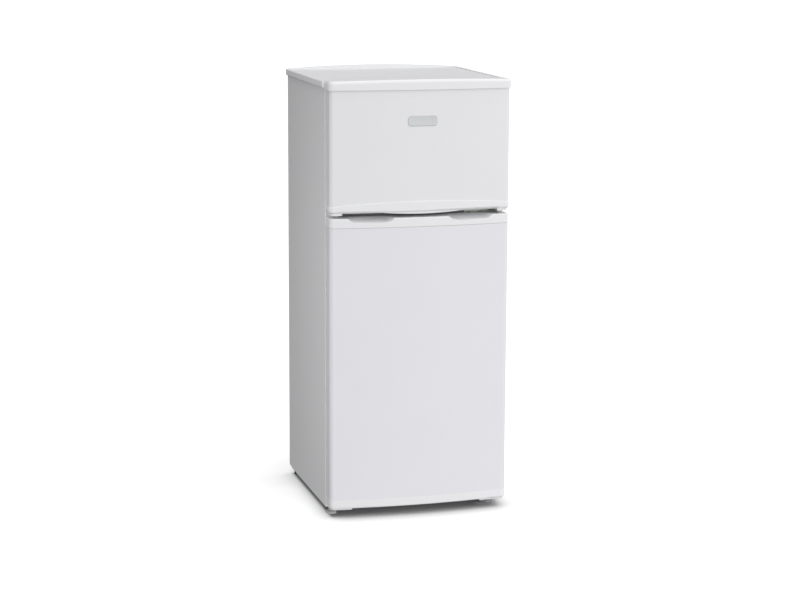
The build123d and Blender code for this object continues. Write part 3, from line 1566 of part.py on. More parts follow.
ceiling = bay_height - sheet
with BuildPart() as drain_spout:
    with BuildSketch(Plane.XY.offset(ceiling)):
        disc(compressor_x, compressor_y, 2 * spout_radius)
    extrude(amount=-spout_wall)
    with BuildSketch(Plane.XY.offset(ceiling)):
        disc(compressor_x, compressor_y, spout_radius)
    extrude(amount=-spout_length)
    with BuildSketch(Plane.XY.offset(ceiling)):
        disc(compressor_x, compressor_y, spout_radius - spout_wall)
    extrude(amount=-spout_length, mode=Mode.SUBTRACT)
keep(drain_spout.part, "drain_spout")

# Condenser: one tube bent into passes, with wires welded across both sides
tube_y = cabinet_rear + condenser_stand_off
condenser_half = condenser_width / 2
condenser_high = condenser_low + (condenser_passes - 1) * condenser_pitch
lead_x = condenser_half + condenser_lead
lead_end = condenser_low - condenser_drop


def rod(points: list[tuple[float, float, float]], radius: float, bend: float) -> Part:
    """Return a thin tube, eight-sided to stay light, along straight runs joined by bends."""
    with BuildPart() as tube:
        with BuildLine() as run:
            FilletPolyline(*points, radius=bend)
        path = run.wire()
        with BuildSketch(Plane(origin=path @ 0, z_dir=path % 0)):
            RegularPolygon(radius, tube_sides)
        sweep(path=path)
    return tube.part


passes = [(lead_x, tube_y, lead_end), (lead_x, tube_y, condenser_low)]
for index in range(condenser_passes):
    level = condenser_low + index * condenser_pitch
    side = -1 if index % 2 == 0 else 1
    if index > 0:
        passes.append((-side * condenser_half, tube_y, level))
    end = side * (lead_x if index == condenser_passes - 1 else condenser_half)
    passes.append((end, tube_y, level))
passes.append((-lead_x, tube_y, lead_end))
keep(rod(passes, tube_radius, condenser_bend), "condenser_tube")

wire_half = condenser_half - condenser_bend - clip_width - clip_wall
wire_length = condenser_high - condenser_low + 2 * wire_end
with BuildPart() as condenser_wires:
    for index in range(wire_count):
        wire_x = -wire_half + 2 * wire_half * index / (wire_count - 1)
        side = 1 if index % 2 == 0 else -1
        wire_y = tube_y + side * (tube_radius + wire_play + wire_side / 2)
        with BuildSketch(Plane.XY.offset(condenser_low - wire_end)):
            with Locations((wire_x, wire_y)):
                Rectangle(wire_side, wire_side)
        extrude(amount=wire_length)
keep(condenser_wires.part, "condenser_wires")

clip_x = wire_half + clip_wall + clip_width / 2
clip_levels = [condenser_low + condenser_pitch, condenser_high - condenser_pitch]
with BuildPart() as condenser_clips:
    for clip_level in clip_levels:
        for side in (-1, 1):
            with BuildSketch(Plane.YZ.offset(side * clip_x - clip_width / 2)):
                clip_end = tube_y + tube_radius + clip_wall / 2
                panel(
                    cabinet_rear - sheet,
                    clip_end,
                    clip_level - clip_height / 2,
                    clip_level + clip_height / 2,
                )
                fillet(vertices().group_by(Axis.X)[-1], clip_wall)
                disc(tube_y, clip_level, tube_radius + wire_play, Mode.SUBTRACT)
                panel(
                    cabinet_rear - sheet + clip_wall,
                    tube_y - tube_radius - clip_wall,
                    clip_level - clip_height / 2 + clip_wall,
                    clip_level + clip_height / 2 - clip_wall,
                    Mode.SUBTRACT,
                )
            extrude(amount=clip_width)
keep(condenser_clips.part, "condenser_clips")

# Filter drier and the pipes between compressor, condenser and foam
drier_x = -70.0
drier_set_back = 24.0
drier_y = compressor_y + drier_set_back
drier_low = 88.0
drier_high = drier_low + drier_length
neck = 12.0
with BuildPart() as filter_drier:
    with BuildSketch(Plane.XZ.offset(-drier_y)):
        with BuildLine():
            Polyline(
                (drier_x, drier_low),
                (drier_x + pipe_radius, drier_low),
                (drier_x + drier_radius, drier_low + neck),
                (drier_x + drier_radius, drier_high - neck),
                (drier_x + pipe_radius, drier_high),
                (drier_x, drier_high),
                close=True,
            )
        make_face()
    revolve(axis=Axis((drier_x, drier_y, 0), (0, 0, 1)))
keep(filter_drier.part, "filter_drier")

pipe_level = 205.0
suction_x = -36.0
suction_y = compressor_y - relay_width / 2 - 10.0
suction_level = compressor_top - compressor_round - 2 * pipe_radius
discharge_level = weld_level - 12.0
suction_end = compressor_x - compressor_length / 2 + compressor_corner / 2
discharge_start = compressor_x + compressor_length / 2 + mount_play
capillary_y = drier_y - capillary_set_in
capillary_drop = 22.0
capillary_low = drier_low - capillary_drop
with BuildPart() as refrigerant_pipes:
    add(
        rod(
            [
                (discharge_start, compressor_y, discharge_level),
                (lead_x, compressor_y, discharge_level),
                (lead_x, tube_y, discharge_level),
                (lead_x, tube_y, lead_end),
            ],
            pipe_radius,
            pipe_bend,
        )
    )
    add(
        rod(
            [
                (-lead_x, tube_y, lead_end),
                (-lead_x, tube_y, pipe_level),
                (-lead_x, drier_y, pipe_level),
                (drier_x, drier_y, pipe_level),
                (drier_x, drier_y, drier_high),
            ],
            pipe_radius,
            pipe_bend,
        )
    )
    add(
        rod(
            [
                (suction_x, suction_y, ceiling),
                (suction_x, suction_y, suction_level),
                (suction_end, suction_y, suction_level),
            ],
            pipe_radius,
            pipe_bend,
        )
    )
    add(
        rod(
            [
                (drier_x, drier_y, drier_low),
                (drier_x, drier_y, capillary_low),
                (drier_x, capillary_y, capillary_low),
                (drier_x, capillary_y, ceiling),
            ],
            pipe_radius / 2,
            pipe_bend / 2,
        )
    )
    add(compressor.part, mode=Mode.SUBTRACT)
keep(refrigerant_pipes.part, "refrigerant_pipes")
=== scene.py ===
"""Dressed scene of a top freezer refrigerator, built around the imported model.

Metres, +Z up.  The doors face -Y and hinge on the +X side.  Plain solids keep their shape and get
a finish; tubes, wires, seals, fasteners, dial and lamp are made anew over the solids they replace.
"""

import logging
import math
from dataclasses import dataclass, replace
from enum import Enum
from typing import Any, Iterable, Sequence

import bmesh
import bpy
from bmesh.types import BMesh, BMVert
from bpy.types import Collection, Material, Mesh, NodeSocket, NodeTree, Object
from mathutils import Matrix, Vector


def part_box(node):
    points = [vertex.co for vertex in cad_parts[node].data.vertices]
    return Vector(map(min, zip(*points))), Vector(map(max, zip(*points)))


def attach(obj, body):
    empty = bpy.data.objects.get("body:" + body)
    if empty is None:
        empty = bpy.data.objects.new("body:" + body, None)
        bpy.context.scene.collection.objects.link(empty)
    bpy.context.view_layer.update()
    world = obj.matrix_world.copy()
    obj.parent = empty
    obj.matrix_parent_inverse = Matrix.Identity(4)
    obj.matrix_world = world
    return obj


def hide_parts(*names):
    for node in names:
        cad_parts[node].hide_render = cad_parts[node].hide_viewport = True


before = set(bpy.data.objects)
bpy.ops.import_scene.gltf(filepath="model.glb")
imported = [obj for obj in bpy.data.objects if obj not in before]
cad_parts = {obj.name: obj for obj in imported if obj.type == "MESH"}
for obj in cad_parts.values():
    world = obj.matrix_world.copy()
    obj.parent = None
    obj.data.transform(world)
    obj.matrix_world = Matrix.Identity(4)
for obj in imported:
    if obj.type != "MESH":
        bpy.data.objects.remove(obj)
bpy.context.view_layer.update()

LOG = logging.getLogger("refrigerator")
Point = tuple[float, float, float]
Pair = tuple[float, float]
Row = list[BMVert]
MM = 0.001
MERGE = 1e-6  # vertices nearer than this are one
SHARP = math.radians(35)  # edges that turn more than this stay sharp
CORNER_STEPS = 8  # facets in a rounded corner


class Pattern(Enum):
    """How a surface varies over its area."""

    MOTTLE = "mottle"
    SPANGLE = "spangle"
    BRUSHED = "brushed"


class Body(str, Enum):
    """The moving bodies that pieces made here ride on."""

    CABINET = "cabinet"
    FREEZER_DOOR = "freezer_door"
    FRIDGE_DOOR = "fridge_door"


def linear(code: str) -> tuple[float, float, float, float]:
    """Turn an sRGB hex code into linear colour.

    Args:
        code: Six hex digits with a leading hash.

    Returns:
        Linear red, green and blue with full alpha.
    """
    parts = [int(code[i : i + 2], 16) / 255 for i in (1, 3, 5)]
    lin = [p / 12.92 if p <= 0.04045 else ((p + 0.055) / 1.055) ** 2.4 for p in parts]
    return (lin[0], lin[1], lin[2], 1.0)


def feed(tree: NodeTree, node: Any, **inputs: Any) -> None:
    """Give a node's inputs their values and links.

    Args:
        tree: Node tree of the node.
        node: Node to feed.
        **inputs: Input socket by name (underscores for spaces) or by "_" and its place, given a
            value or an output socket to link from.
    """
    for key, value in inputs.items():
        socket = node.inputs[int(key[1:]) if key[1:].isdigit() else key.replace("_", " ")]
        if isinstance(value, NodeSocket):
            tree.links.new(value, socket)
        else:
            socket.default_value = value


def add_node(tree: NodeTree, kind: str, settings: dict | None = None, **inputs: Any) -> Any:
    """Add one node to a tree.

    Args:
        tree: Node tree that takes the node.
        kind: Blender's type name of the node.
        settings: Attributes set on the node itself.
        **inputs: Values and links of its inputs, as in feed.

    Returns:
        The new node.
    """
    node = tree.nodes.new(kind)
    for key, value in (settings or {}).items():
        setattr(node, key, value)
    feed(tree, node, **inputs)
    return node


@dataclass(frozen=True)
class Finish:
    """One substance with the way its surface was made.

    Sizes are in millimetres: mottle is the drift of colour and gloss, grain the fine relief.
    """

    name: str
    colour: str
    drift: str
    roughness: float
    rough_spread: float = 0.08
    mottle: float = 90.0
    grain: float = 3.0
    relief: float = 0.02
    metallic: float = 0.0
    ior: float = 1.5
    coat: float = 0.0
    transmission: float = 0.0
    pattern: Pattern = Pattern.MOTTLE

    def material(self) -> Material:
        """Return the finish as a material, made at its first use."""
        known = bpy.data.materials.get(self.name)
        return known if known else self._make()

    def _make(self) -> Material:
        """Build the node tree: drifting colour and gloss, and a fine relief in the normal."""
        made = bpy.data.materials.new(self.name)
        made.use_nodes = True
        tree = made.node_tree
        shader = tree.nodes["Principled BSDF"]
        place = add_node(tree, "ShaderNodeTexCoord").outputs["Object"]
        drift = self._drift(tree, place)
        grain = self._grain(tree, place)
        colour = add_node(
            tree, "ShaderNodeMix", {"data_type": "RGBA"}, _0=drift, _6=linear(self.colour),
            _7=linear(self.drift),
        )
        gloss = add_node(
            tree, "ShaderNodeMapRange", Value=drift,
            To_Min=max(self.roughness - self.rough_spread, 0.0),
            To_Max=min(self.roughness + self.rough_spread, 1.0),
        )
        bump = add_node(
            tree, "ShaderNodeBump", Strength=0.6, Distance=self.relief * MM, Height=grain
        )
        feed(
            tree, shader, Base_Color=colour.outputs[2], Roughness=gloss.outputs[0],
            Normal=bump.outputs[0], Metallic=self.metallic, IOR=self.ior, Coat_Weight=self.coat,
            Transmission_Weight=self.transmission,
        )
        return made

    def _drift(self, tree: NodeTree, place: NodeSocket) -> NodeSocket:
        """Return the slow variation that colour and gloss follow."""
        scale = 1 / (self.mottle * MM)
        if self.pattern is Pattern.SPANGLE:
            cells = add_node(tree, "ShaderNodeTexVoronoi", Vector=place, Scale=scale)
            split = add_node(tree, "ShaderNodeSeparateColor", Color=cells.outputs["Color"])
            return split.outputs[0]
        noise = add_node(
            tree, "ShaderNodeTexNoise", Vector=place, Scale=scale, Detail=3.0, Roughness=0.5
        )
        return noise.outputs[0]

    def _grain(self, tree: NodeTree, place: NodeSocket) -> NodeSocket:
        """Return the fine relief, drawn out along X on a brushed surface."""
        scale = 1 / (self.grain * MM)
        if self.pattern is Pattern.BRUSHED:
            drawn = add_node(tree, "ShaderNodeMapping", Vector=place, Scale=(0.04, 1.0, 1.0))
            place = drawn.outputs[0]
        noise = add_node(
            tree, "ShaderNodeTexNoise", Vector=place, Scale=scale, Detail=2.0, Roughness=0.55
        )
        return noise.outputs[0]


# Order: name, colour and its drift, roughness and its spread, mottle, grain and relief

# Coil-coated steel: sprayed-looking white enamel with faint orange peel, satin gloss
ENAMEL = Finish(
    "white_enamel_steel", "#E9E9EB", "#E6E6E8", 0.36, 0.04, 140.0, 2.5, 0.012, coat=0.15
)
# The same enamel on the lower door, a touch cooler: painted light tone, since both doors share one
# enamel
PAINTED_LIGHT_DOOR_ENAMEL = replace(ENAMEL, name="enamel_steel_in_cool_painted_light", colour="#E8E7EC", drift="#E5E4E9")
# Moulded ABS: white, spark-eroded tool, so an even satin with a very fine grain
CAP_ABS = Finish("white_moulded_abs", "#EDEDEF", "#EAEAEC", 0.36, 0.04, 70.0, 1.2, 0.02)
# Worktop ABS: the same plastic from a coarser tool
WORKTOP_ABS = Finish("white_worktop_abs", "#EAEAEC", "#E7E7E9", 0.42, 0.05, 90.0, 1.6, 0.022)
# Vacuum-formed high-impact polystyrene: milky white, soft gloss, faint waves from the forming
LINER = Finish("vacuum_formed_polystyrene", "#F0F0EE", "#ECECEA", 0.3, 0.03, 120.0, 9.0, 0.02)
# Injected polystyrene trims: harder and glossier than the liner
TRIM = Finish("white_injected_polystyrene", "#F2F2F1", "#EEEEED", 0.24, 0.04, 60.0, 8.0, 0.02)
# Hot-dip zinc on sheet steel: dull grey with crystal spangle a centimetre across
ZINC = Finish(
    "galvanised_sheet_steel", "#9FA3A5", "#B4B7B8", 0.46, 0.1, 11.0, 4.0, 0.01,
    metallic=1.0, pattern=Pattern.SPANGLE,
)
# Zinc-plated and passivated pressing: grey with a slight green cast
HINGE = Finish(
    "passivated_zinc_steel", "#BCC0B8", "#CACDC5", 0.42, 0.08, 14.0, 1.2, 0.01,
    metallic=0.6, pattern=Pattern.BRUSHED,
)
# Grey enamel of the rail between the two openings; its grey partly paints the shade in the gap
# between the doors
RAIL_GREY_AND_SHADE = Finish("grey_enamel_and_gap_shade_steel", "#8C8E90", "#85878A", 0.4, 0.05, 90.0, 2.5, 0.012)
# Bright zinc-plated screws
SCREW = Finish(
    "bright_zinc_screw_steel", "#B5B7B4", "#A4A7A2", 0.3, 0.08, 6.0, 1.0, 0.01, metallic=1.0
)
# Black stove paint on steel: even satin, dusty in patches
BLACK_PAINT = Finish("black_stove_paint", "#151516", "#242425", 0.45, 0.12, 45.0, 1.6, 0.03)
# Drawn copper: warm metal dulled brown in patches by handling and brazing
COPPER = Finish(
    "drawn_copper_tube", "#B87A55", "#7A4A33", 0.34, 0.12, 18.0, 2.0, 0.01, metallic=1.0
)
# Moulded nitrile rubber: nearly black, dry
RUBBER = Finish("moulded_nitrile_rubber", "#161616", "#232323", 0.72, 0.08, 12.0, 0.8, 0.04)
# Extruded soft vinyl: pale grey-white, slightly waxy
VINYL = Finish("extruded_soft_vinyl", "#D6D6D4", "#CBCBC9", 0.52, 0.06, 30.0, 1.0, 0.02)
# Nylon: natural white, waxy
NYLON = Finish("natural_nylon", "#E3E2DC", "#D9D8D0", 0.4, 0.06, 14.0, 1.0, 0.02)
# Black polypropylene mouldings of the machine bay: matte
BLACK_PP = Finish("black_polypropylene", "#1B1B1C", "#272728", 0.56, 0.08, 20.0, 1.0, 0.05)
# Grey polypropylene of the left front foot: matte, a little dusty
GREY_PP = Finish("grey_polypropylene", "#CFCFCF", "#C0C0C0", 0.55, 0.08, 10.0, 0.8, 0.05)
# The right front foot, in a darker grey
DARK_PP = replace(GREY_PP, name="dark_grey_polypropylene", colour="#9B9B9C", drift="#8D8D8E")
# Float glass: clear, cool green tint, fire-polished
GLASS = Finish(
    "toughened_float_glass", "#E6F3EE", "#E0F0EA", 0.03, 0.02, 80.0, 60.0, 0.01,
    ior=1.52, transmission=1.0,
)
# General-purpose polystyrene: water clear with a blue cast, glossy
CLEAR = Finish(
    "clear_polystyrene", "#E9F1F4", "#E2EDF2", 0.08, 0.03, 60.0, 12.0, 0.02,
    ior=1.59, transmission=0.92,
)
# Frosted polystyrene of the lamp cover: milky and scattering
FROST = Finish(
    "frosted_polystyrene", "#F1F0EA", "#E8E7E0", 0.42, 0.06, 20.0, 1.5, 0.05,
    ior=1.59, transmission=0.7,
)
# Blown soda glass of the bulb
BULB = Finish(
    "blown_soda_glass", "#F6F6F2", "#F2F2EC", 0.04, 0.02, 20.0, 10.0, 0.01, transmission=0.95
)
# Nickelled brass lamp cap
LAMP_CAP = Finish("nickelled_brass", "#B9B39C", "#A39C84", 0.3, 0.08, 5.0, 0.8, 0.01, metallic=1.0)
# Pale grey ABS of knob and switch
GREY_ABS = Finish("pale_grey_abs", "#D5D5D6", "#CDCDCE", 0.4, 0.05, 20.0, 0.9, 0.03)
# Plastic-dipped steel wire: thick white coat, soft gloss
DIPPED_WIRE = Finish("plastic_dipped_wire", "#EDEDEC", "#E4E4E2", 0.34, 0.06, 25.0, 3.0, 0.04)
# Anodised aluminium plate: satin silver, brushed lengthways
SILVER = Finish(
    "satin_anodised_aluminium", "#B9BBBD", "#C6C8CA", 0.34, 0.06, 9.0, 0.7, 0.02,
    metallic=1.0, pattern=Pattern.BRUSHED,
)
# Rolled aluminium of the evaporators
ROLLED = Finish(
    "rolled_aluminium", "#B4B6B8", "#C2C4C6", 0.38, 0.08, 30.0, 1.5, 0.02,
    metallic=1.0, pattern=Pattern.BRUSHED,
)
# Rigid polyurethane foam: pale closed cells
FOAM = Finish("rigid_polyurethane_foam", "#C6C5BF", "#B9B8B1", 0.85, 0.06, 25.0, 2.0, 0.6)
# Pad-printed ink of the dial
INK = Finish("grey_pad_print_ink", "#5E6468", "#545A5E", 0.5, 0.04, 6.0, 0.6, 0.005)


def dress(finish: Finish, *nodes: str) -> None:
    """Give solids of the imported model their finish.

    Args:
        finish: Finish of all of them.
        *nodes: Names of the solids.
    """
    for name in nodes:
        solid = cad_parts[name]
        if not solid.material_slots:
            solid.data.materials.append(finish.material())
        for place in solid.material_slots:
            place.material = finish.material()
        LOG.info("dressed %s in %s", name, finish.name)


def seat(piece: Object, body: Body, slot: str, *nodes: str) -> None:
    """Hand a finished piece to the frame.

    Args:
        piece: Finished piece, at the origin.
        body: Body it moves with.
        slot: Material slot of the record that it belongs to; not used.
        *nodes: Solids that it stands for.
    """
    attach(piece, body.value)
    if nodes:
        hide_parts(*nodes)
    LOG.info("made %s on %s", piece.name, body.value)


def new_object(name: str, data: bpy.types.ID) -> Object:
    """Link a mesh, light or camera to the scene under one name and return its object."""
    data.name = name
    piece = bpy.data.objects.new(name, data)
    bpy.context.scene.collection.objects.link(piece)
    return piece


def shaded(name: str, mesh: Mesh, finish: Finish) -> Object:
    """Return a mesh as a finished piece, shaded smooth up to the sharp angle."""
    if not mesh.materials:
        mesh.materials.append(finish.material())
    mesh.shade_smooth()
    mesh.set_sharp_from_angle(angle=SHARP)
    return new_object(name, mesh)


def from_bmesh(name: str, shape: BMesh, finish: Finish) -> Object:
    """Turn a built mesh into a finished piece.

    Args:
        name: Name of the piece.
        shape: Mesh to use up; its doubles are merged and its faces turned outwards.
        finish: Finish of the whole piece.

    Returns:
        The new piece.
    """
    bmesh.ops.remove_doubles(shape, verts=shape.verts, dist=MERGE)
    bmesh.ops.recalc_face_normals(shape, faces=shape.faces)
    mesh = bpy.data.meshes.new(name)
    shape.to_mesh(mesh)
    shape.free()
    return shaded(name, mesh, finish)


def bridge(shape: BMesh, rows: Sequence[Row], capped: bool = False) -> None:
    """Join rows of vertices by closed bands of faces, with a face over each end if capped."""
    for one, two in zip(rows, rows[1:]):
        for i, vert in enumerate(one):
            j = (i + 1) % len(one)
            shape.faces.new((vert, one[j], two[j], two[i]))
    if capped:
        shape.faces.new(rows[-1])
        shape.faces.new(list(reversed(rows[0])))


def rounded_frame(low: Pair, high: Pair, inset: float, corner: float) -> list[Pair]:
    """Return the outline of an upright rectangle, set in and rounded, as x and z pairs."""
    (left, bottom), (right, top) = [v + inset for v in low], [v - inset for v in high]
    centres = (
        (right - corner, bottom + corner, -90.0),
        (right - corner, top - corner, 0.0),
        (left + corner, top - corner, 90.0),
        (left + corner, bottom + corner, 180.0),
    )
    outline = []
    for x, z, first in centres:
        for step in range(CORNER_STEPS + 1):
            angle = math.radians(first + 90.0 * step / CORNER_STEPS)
            outline.append((x + corner * math.cos(angle), z + corner * math.sin(angle)))
    return outline


def revolve(profile: Sequence[Pair], origin: Vector, axis: Vector, steps: int) -> BMesh:
    """Turn a profile round an axis.

    Args:
        profile: Radius and height pairs, from end to end.
        origin: Point on the axis where height is zero.
        axis: Direction of growing height.
        steps: Number of segments round the axis.

    Returns:
        The turned shell, with its ends closed where the profile does not reach the axis.
    """
    turn = axis.normalized().to_track_quat("Z", "Y").to_matrix().to_4x4()
    place = Matrix.Translation(origin) @ turn
    shape = bmesh.new()
    rings = []
    for radius, height in profile:
        ring = []
        for step in range(steps):
            angle = 2 * math.pi * step / steps
            spot = Vector((radius * math.cos(angle), radius * math.sin(angle), height))
            ring.append(shape.verts.new(place @ spot))
        rings.append(ring)
    bridge(shape, rings)
    for ring, (radius, _) in ((rings[0], profile[0]), (rings[-1], profile[-1])):
        if radius > MERGE:
            shape.faces.new(ring)
    return shape


class Graph:
    """A geometry node tree in the making, with named inputs and a material called Finish."""

    def __init__(self, name: str, counts: str = "", floats: str = "", vectors: str = "") -> None:
        """Start the tree.

        Args:
            name: Name of the tree.
            counts: Names of the inputs that take a whole number, with spaces between them.
            floats: Names of the inputs that take a number.
            vectors: Names of the inputs that take three numbers.
        """
        self.tree = bpy.data.node_groups.new(name, "GeometryNodeTree")
        kinds = {"Geometry": "Geometry", "Int": counts, "Float": floats, "Vector": vectors}
        for kind, keys in (kinds | {"Material": "Finish"}).items():
            for key in keys.split():
                self._socket(key, "INPUT", kind)
        self._socket("Geometry", "OUTPUT", "Geometry")
        self.start = self.tree.nodes.new("NodeGroupInput")

    def _socket(self, key: str, side: str, kind: str) -> None:
        """Give the tree one more input or output."""
        self.tree.interface.new_socket(key, in_out=side, socket_type=f"NodeSocket{kind}")

    def __getitem__(self, size: str) -> NodeSocket:
        """Return one of the tree's inputs."""
        return self.start.outputs[size]

    def add(self, kind: str, settings: dict | None = None, **inputs: Any) -> NodeSocket:
        """Add a node, a geometry node if its kind is a short name, and return its first output."""
        full = kind if "Node" in kind else f"GeometryNode{kind}"
        return add_node(self.tree, full, settings, **inputs).outputs[0]

    def math(self, operation: str, *values: Any) -> NodeSocket:
        """Return the result of one operation on values or sockets."""
        places = {f"_{place}": value for place, value in enumerate(values)}
        return self.add("ShaderNodeMath", {"operation": operation}, **places)

    def close(self, made: NodeSocket) -> NodeTree:
        """Return the closed tree, in which instances become mesh and take the material."""
        real = self.add("RealizeInstances", Geometry=made)
        dressed = self.add("SetMaterial", Geometry=real, Material=self["Finish"])
        self.tree.links.new(dressed, self.tree.nodes.new("NodeGroupOutput").inputs[0])
        return self.tree


def grow(name: str, seed: Mesh, tree: NodeTree, finish: Finish, **sizes: Any) -> Object:
    """Run a geometry node tree on a seed mesh and keep the result as a plain mesh.

    Args:
        name: Name of the piece.
        seed: Points or path that the tree works on.
        tree: Geometry node tree.
        finish: Finish of the whole piece.
        **sizes: Values of the tree's named inputs.

    Returns:
        The new piece, with no modifier left on it.
    """
    source = new_object(name + "_seed", seed)
    modifier = source.modifiers.new("grow", "NODES")
    modifier.node_group = tree
    for item in tree.interface.items_tree:
        if item.in_out == "INPUT" and item.name in sizes:
            modifier[item.identifier] = sizes[item.name]
        elif item.in_out == "INPUT" and item.name == "Finish":
            modifier[item.identifier] = finish.material()
    graph = bpy.context.evaluated_depsgraph_get()
    mesh = bpy.data.meshes.new_from_object(source.evaluated_get(graph))
    bpy.data.objects.remove(source)
    return shaded(name, mesh, finish)


def path_mesh(runs: Iterable[Sequence[Point]]) -> Mesh:
    """Return points joined by edges, one open chain for each run."""
    spots: list[Point] = []
    edges: list[tuple[int, int]] = []
    for run in runs:
        first = len(spots)
        spots.extend(run)
        edges.extend((first + i, first + i + 1) for i in range(len(run) - 1))
    mesh = bpy.data.meshes.new("path")
    mesh.from_pydata(spots, edges, [])
    return mesh


def plain_material(name: str, **inputs: Any) -> Material:
    """Return an even material for the studio, its shader's inputs as in feed."""
    made = bpy.data.materials.new(name)
    made.use_nodes = True
    feed(made.node_tree, made.node_tree.nodes["Principled BSDF"], **inputs)
    return made


class Trees:
    """The geometry node trees that several sub-assemblies share."""

    hexagon_sides = 6
    washer_sides = 20
    washer_height = 0.22  # share of the screw head's height
    crown_radius = 0.8  # share of the screw head's radius
    dish_radius = 1.2 * MM
    dish_height = 0.4 * MM

    def __init__(self) -> None:
        """Build each tree once."""
        self.tube = self._tube()
        self.row = self._row()
        self.screws = self._screws()
        self.ring = self._ring()

    @staticmethod
    def _tube() -> NodeTree:
        """Return the tree that bends a round tube along straight runs."""
        graph = Graph("bent_tube", counts="Steps Sides", floats="Radius Bend")
        route = graph.add("MeshToCurve", Mesh=graph["Geometry"])
        bent = graph.add(
            "FilletCurve", {"mode": "POLY"}, Curve=route, Radius=graph["Bend"],
            Count=graph["Steps"], Limit_Radius=True,
        )
        section = graph.add(
            "CurvePrimitiveCircle", Resolution=graph["Sides"], Radius=graph["Radius"]
        )
        swept = graph.add("CurveToMesh", Curve=bent, Profile_Curve=section, Fill_Caps=True)
        return graph.close(swept)

    @staticmethod
    def _row() -> NodeTree:
        """Return the tree that repeats a round bar along a line, every other one shifted."""
        graph = Graph(
            "row_of_bars", counts="Count Sides", floats="Radius Length",
            vectors="Start Step Stagger Turn",
        )
        line = graph.add(
            "MeshLine", {"mode": "OFFSET"}, Count=graph["Count"],
            Start_Location=graph["Start"], Offset=graph["Step"],
        )
        odd = graph.math("MODULO", graph.add("InputIndex"), 2.0)
        shift = graph.add(
            "ShaderNodeVectorMath", {"operation": "SCALE"}, _0=graph["Stagger"], Scale=odd
        )
        spots = graph.add("SetPosition", Geometry=line, Offset=shift)
        bar = graph.add(
            "MeshCylinder", Vertices=graph["Sides"], Radius=graph["Radius"],
            Depth=graph["Length"],
        )
        bars = graph.add("InstanceOnPoints", Points=spots, Instance=bar, Rotation=graph["Turn"])
        return graph.close(bars)

    def _screws(self) -> NodeTree:
        """Return the tree that sets a flanged hexagon head on each point, along its aim."""
        graph = Graph("flanged_screws", floats="Head Height Flange")
        aim = graph.add("InputNamedAttribute", {"data_type": "FLOAT_VECTOR"}, Name="aim")
        turn = graph.add("FunctionNodeAlignRotationToVector", {"axis": "Z"}, Vector=aim)
        crown = graph.math("MULTIPLY", graph["Head"], self.crown_radius)
        lift = graph.add("ShaderNodeCombineXYZ", Z=graph.math("MULTIPLY", graph["Height"], 0.5))
        top = graph.add("ShaderNodeCombineXYZ", Z=graph["Height"])
        hexagon = graph.add(
            "MeshCylinder", Vertices=self.hexagon_sides, Radius=graph["Head"],
            Depth=graph["Height"],
        )
        washer = graph.add(
            "MeshCone", Vertices=self.washer_sides, Radius_Top=crown,
            Radius_Bottom=graph["Flange"],
            Depth=graph.math("MULTIPLY", graph["Height"], self.washer_height),
        )
        dish = graph.add(
            "MeshCone", Vertices=self.washer_sides, Radius_Top=self.dish_radius,
            Radius_Bottom=crown, Depth=self.dish_height,
        )
        raised = graph.add("Transform", Geometry=hexagon, Translation=lift)
        capped = graph.add("Transform", Geometry=dish, Translation=top)
        head = add_node(graph.tree, "GeometryNodeJoinGeometry")
        for part in (raised, washer, capped):
            graph.tree.links.new(part, head.inputs[0])
        heads = graph.add(
            "InstanceOnPoints", Points=graph["Geometry"], Instance=head.outputs[0],
            Rotation=turn,
        )
        return graph.close(heads)

    @staticmethod
    def _ring() -> NodeTree:
        """Return the tree that repeats a small block round an arc, lying along its radius."""
        graph = Graph(
            "ring_of_blocks", counts="Count", floats="Ring First Sweep", vectors="Centre Tilt Block"
        )
        spots = graph.add("Points", Count=graph["Count"])
        last = graph.math("SUBTRACT", graph["Count"], 1.0)
        share = graph.math("DIVIDE", graph.add("InputIndex"), last)
        angle = graph.math("MULTIPLY_ADD", share, graph["Sweep"], graph["First"])
        reach = graph.add("ShaderNodeCombineXYZ", X=graph["Ring"])
        spin = graph.add("ShaderNodeCombineXYZ", Z=angle)
        where = graph.add(
            "ShaderNodeVectorRotate", {"rotation_type": "Z_AXIS"}, Vector=reach, Angle=angle
        )
        set_out = graph.add("SetPosition", Geometry=spots, Position=where)
        block = graph.add("MeshCube", Size=graph["Block"])
        blocks = graph.add("InstanceOnPoints", Points=set_out, Instance=block, Rotation=spin)
        placed = graph.add(
            "Transform", Geometry=blocks, Translation=graph["Centre"],
            Rotation=graph["Tilt"],
        )
        return graph.close(placed)


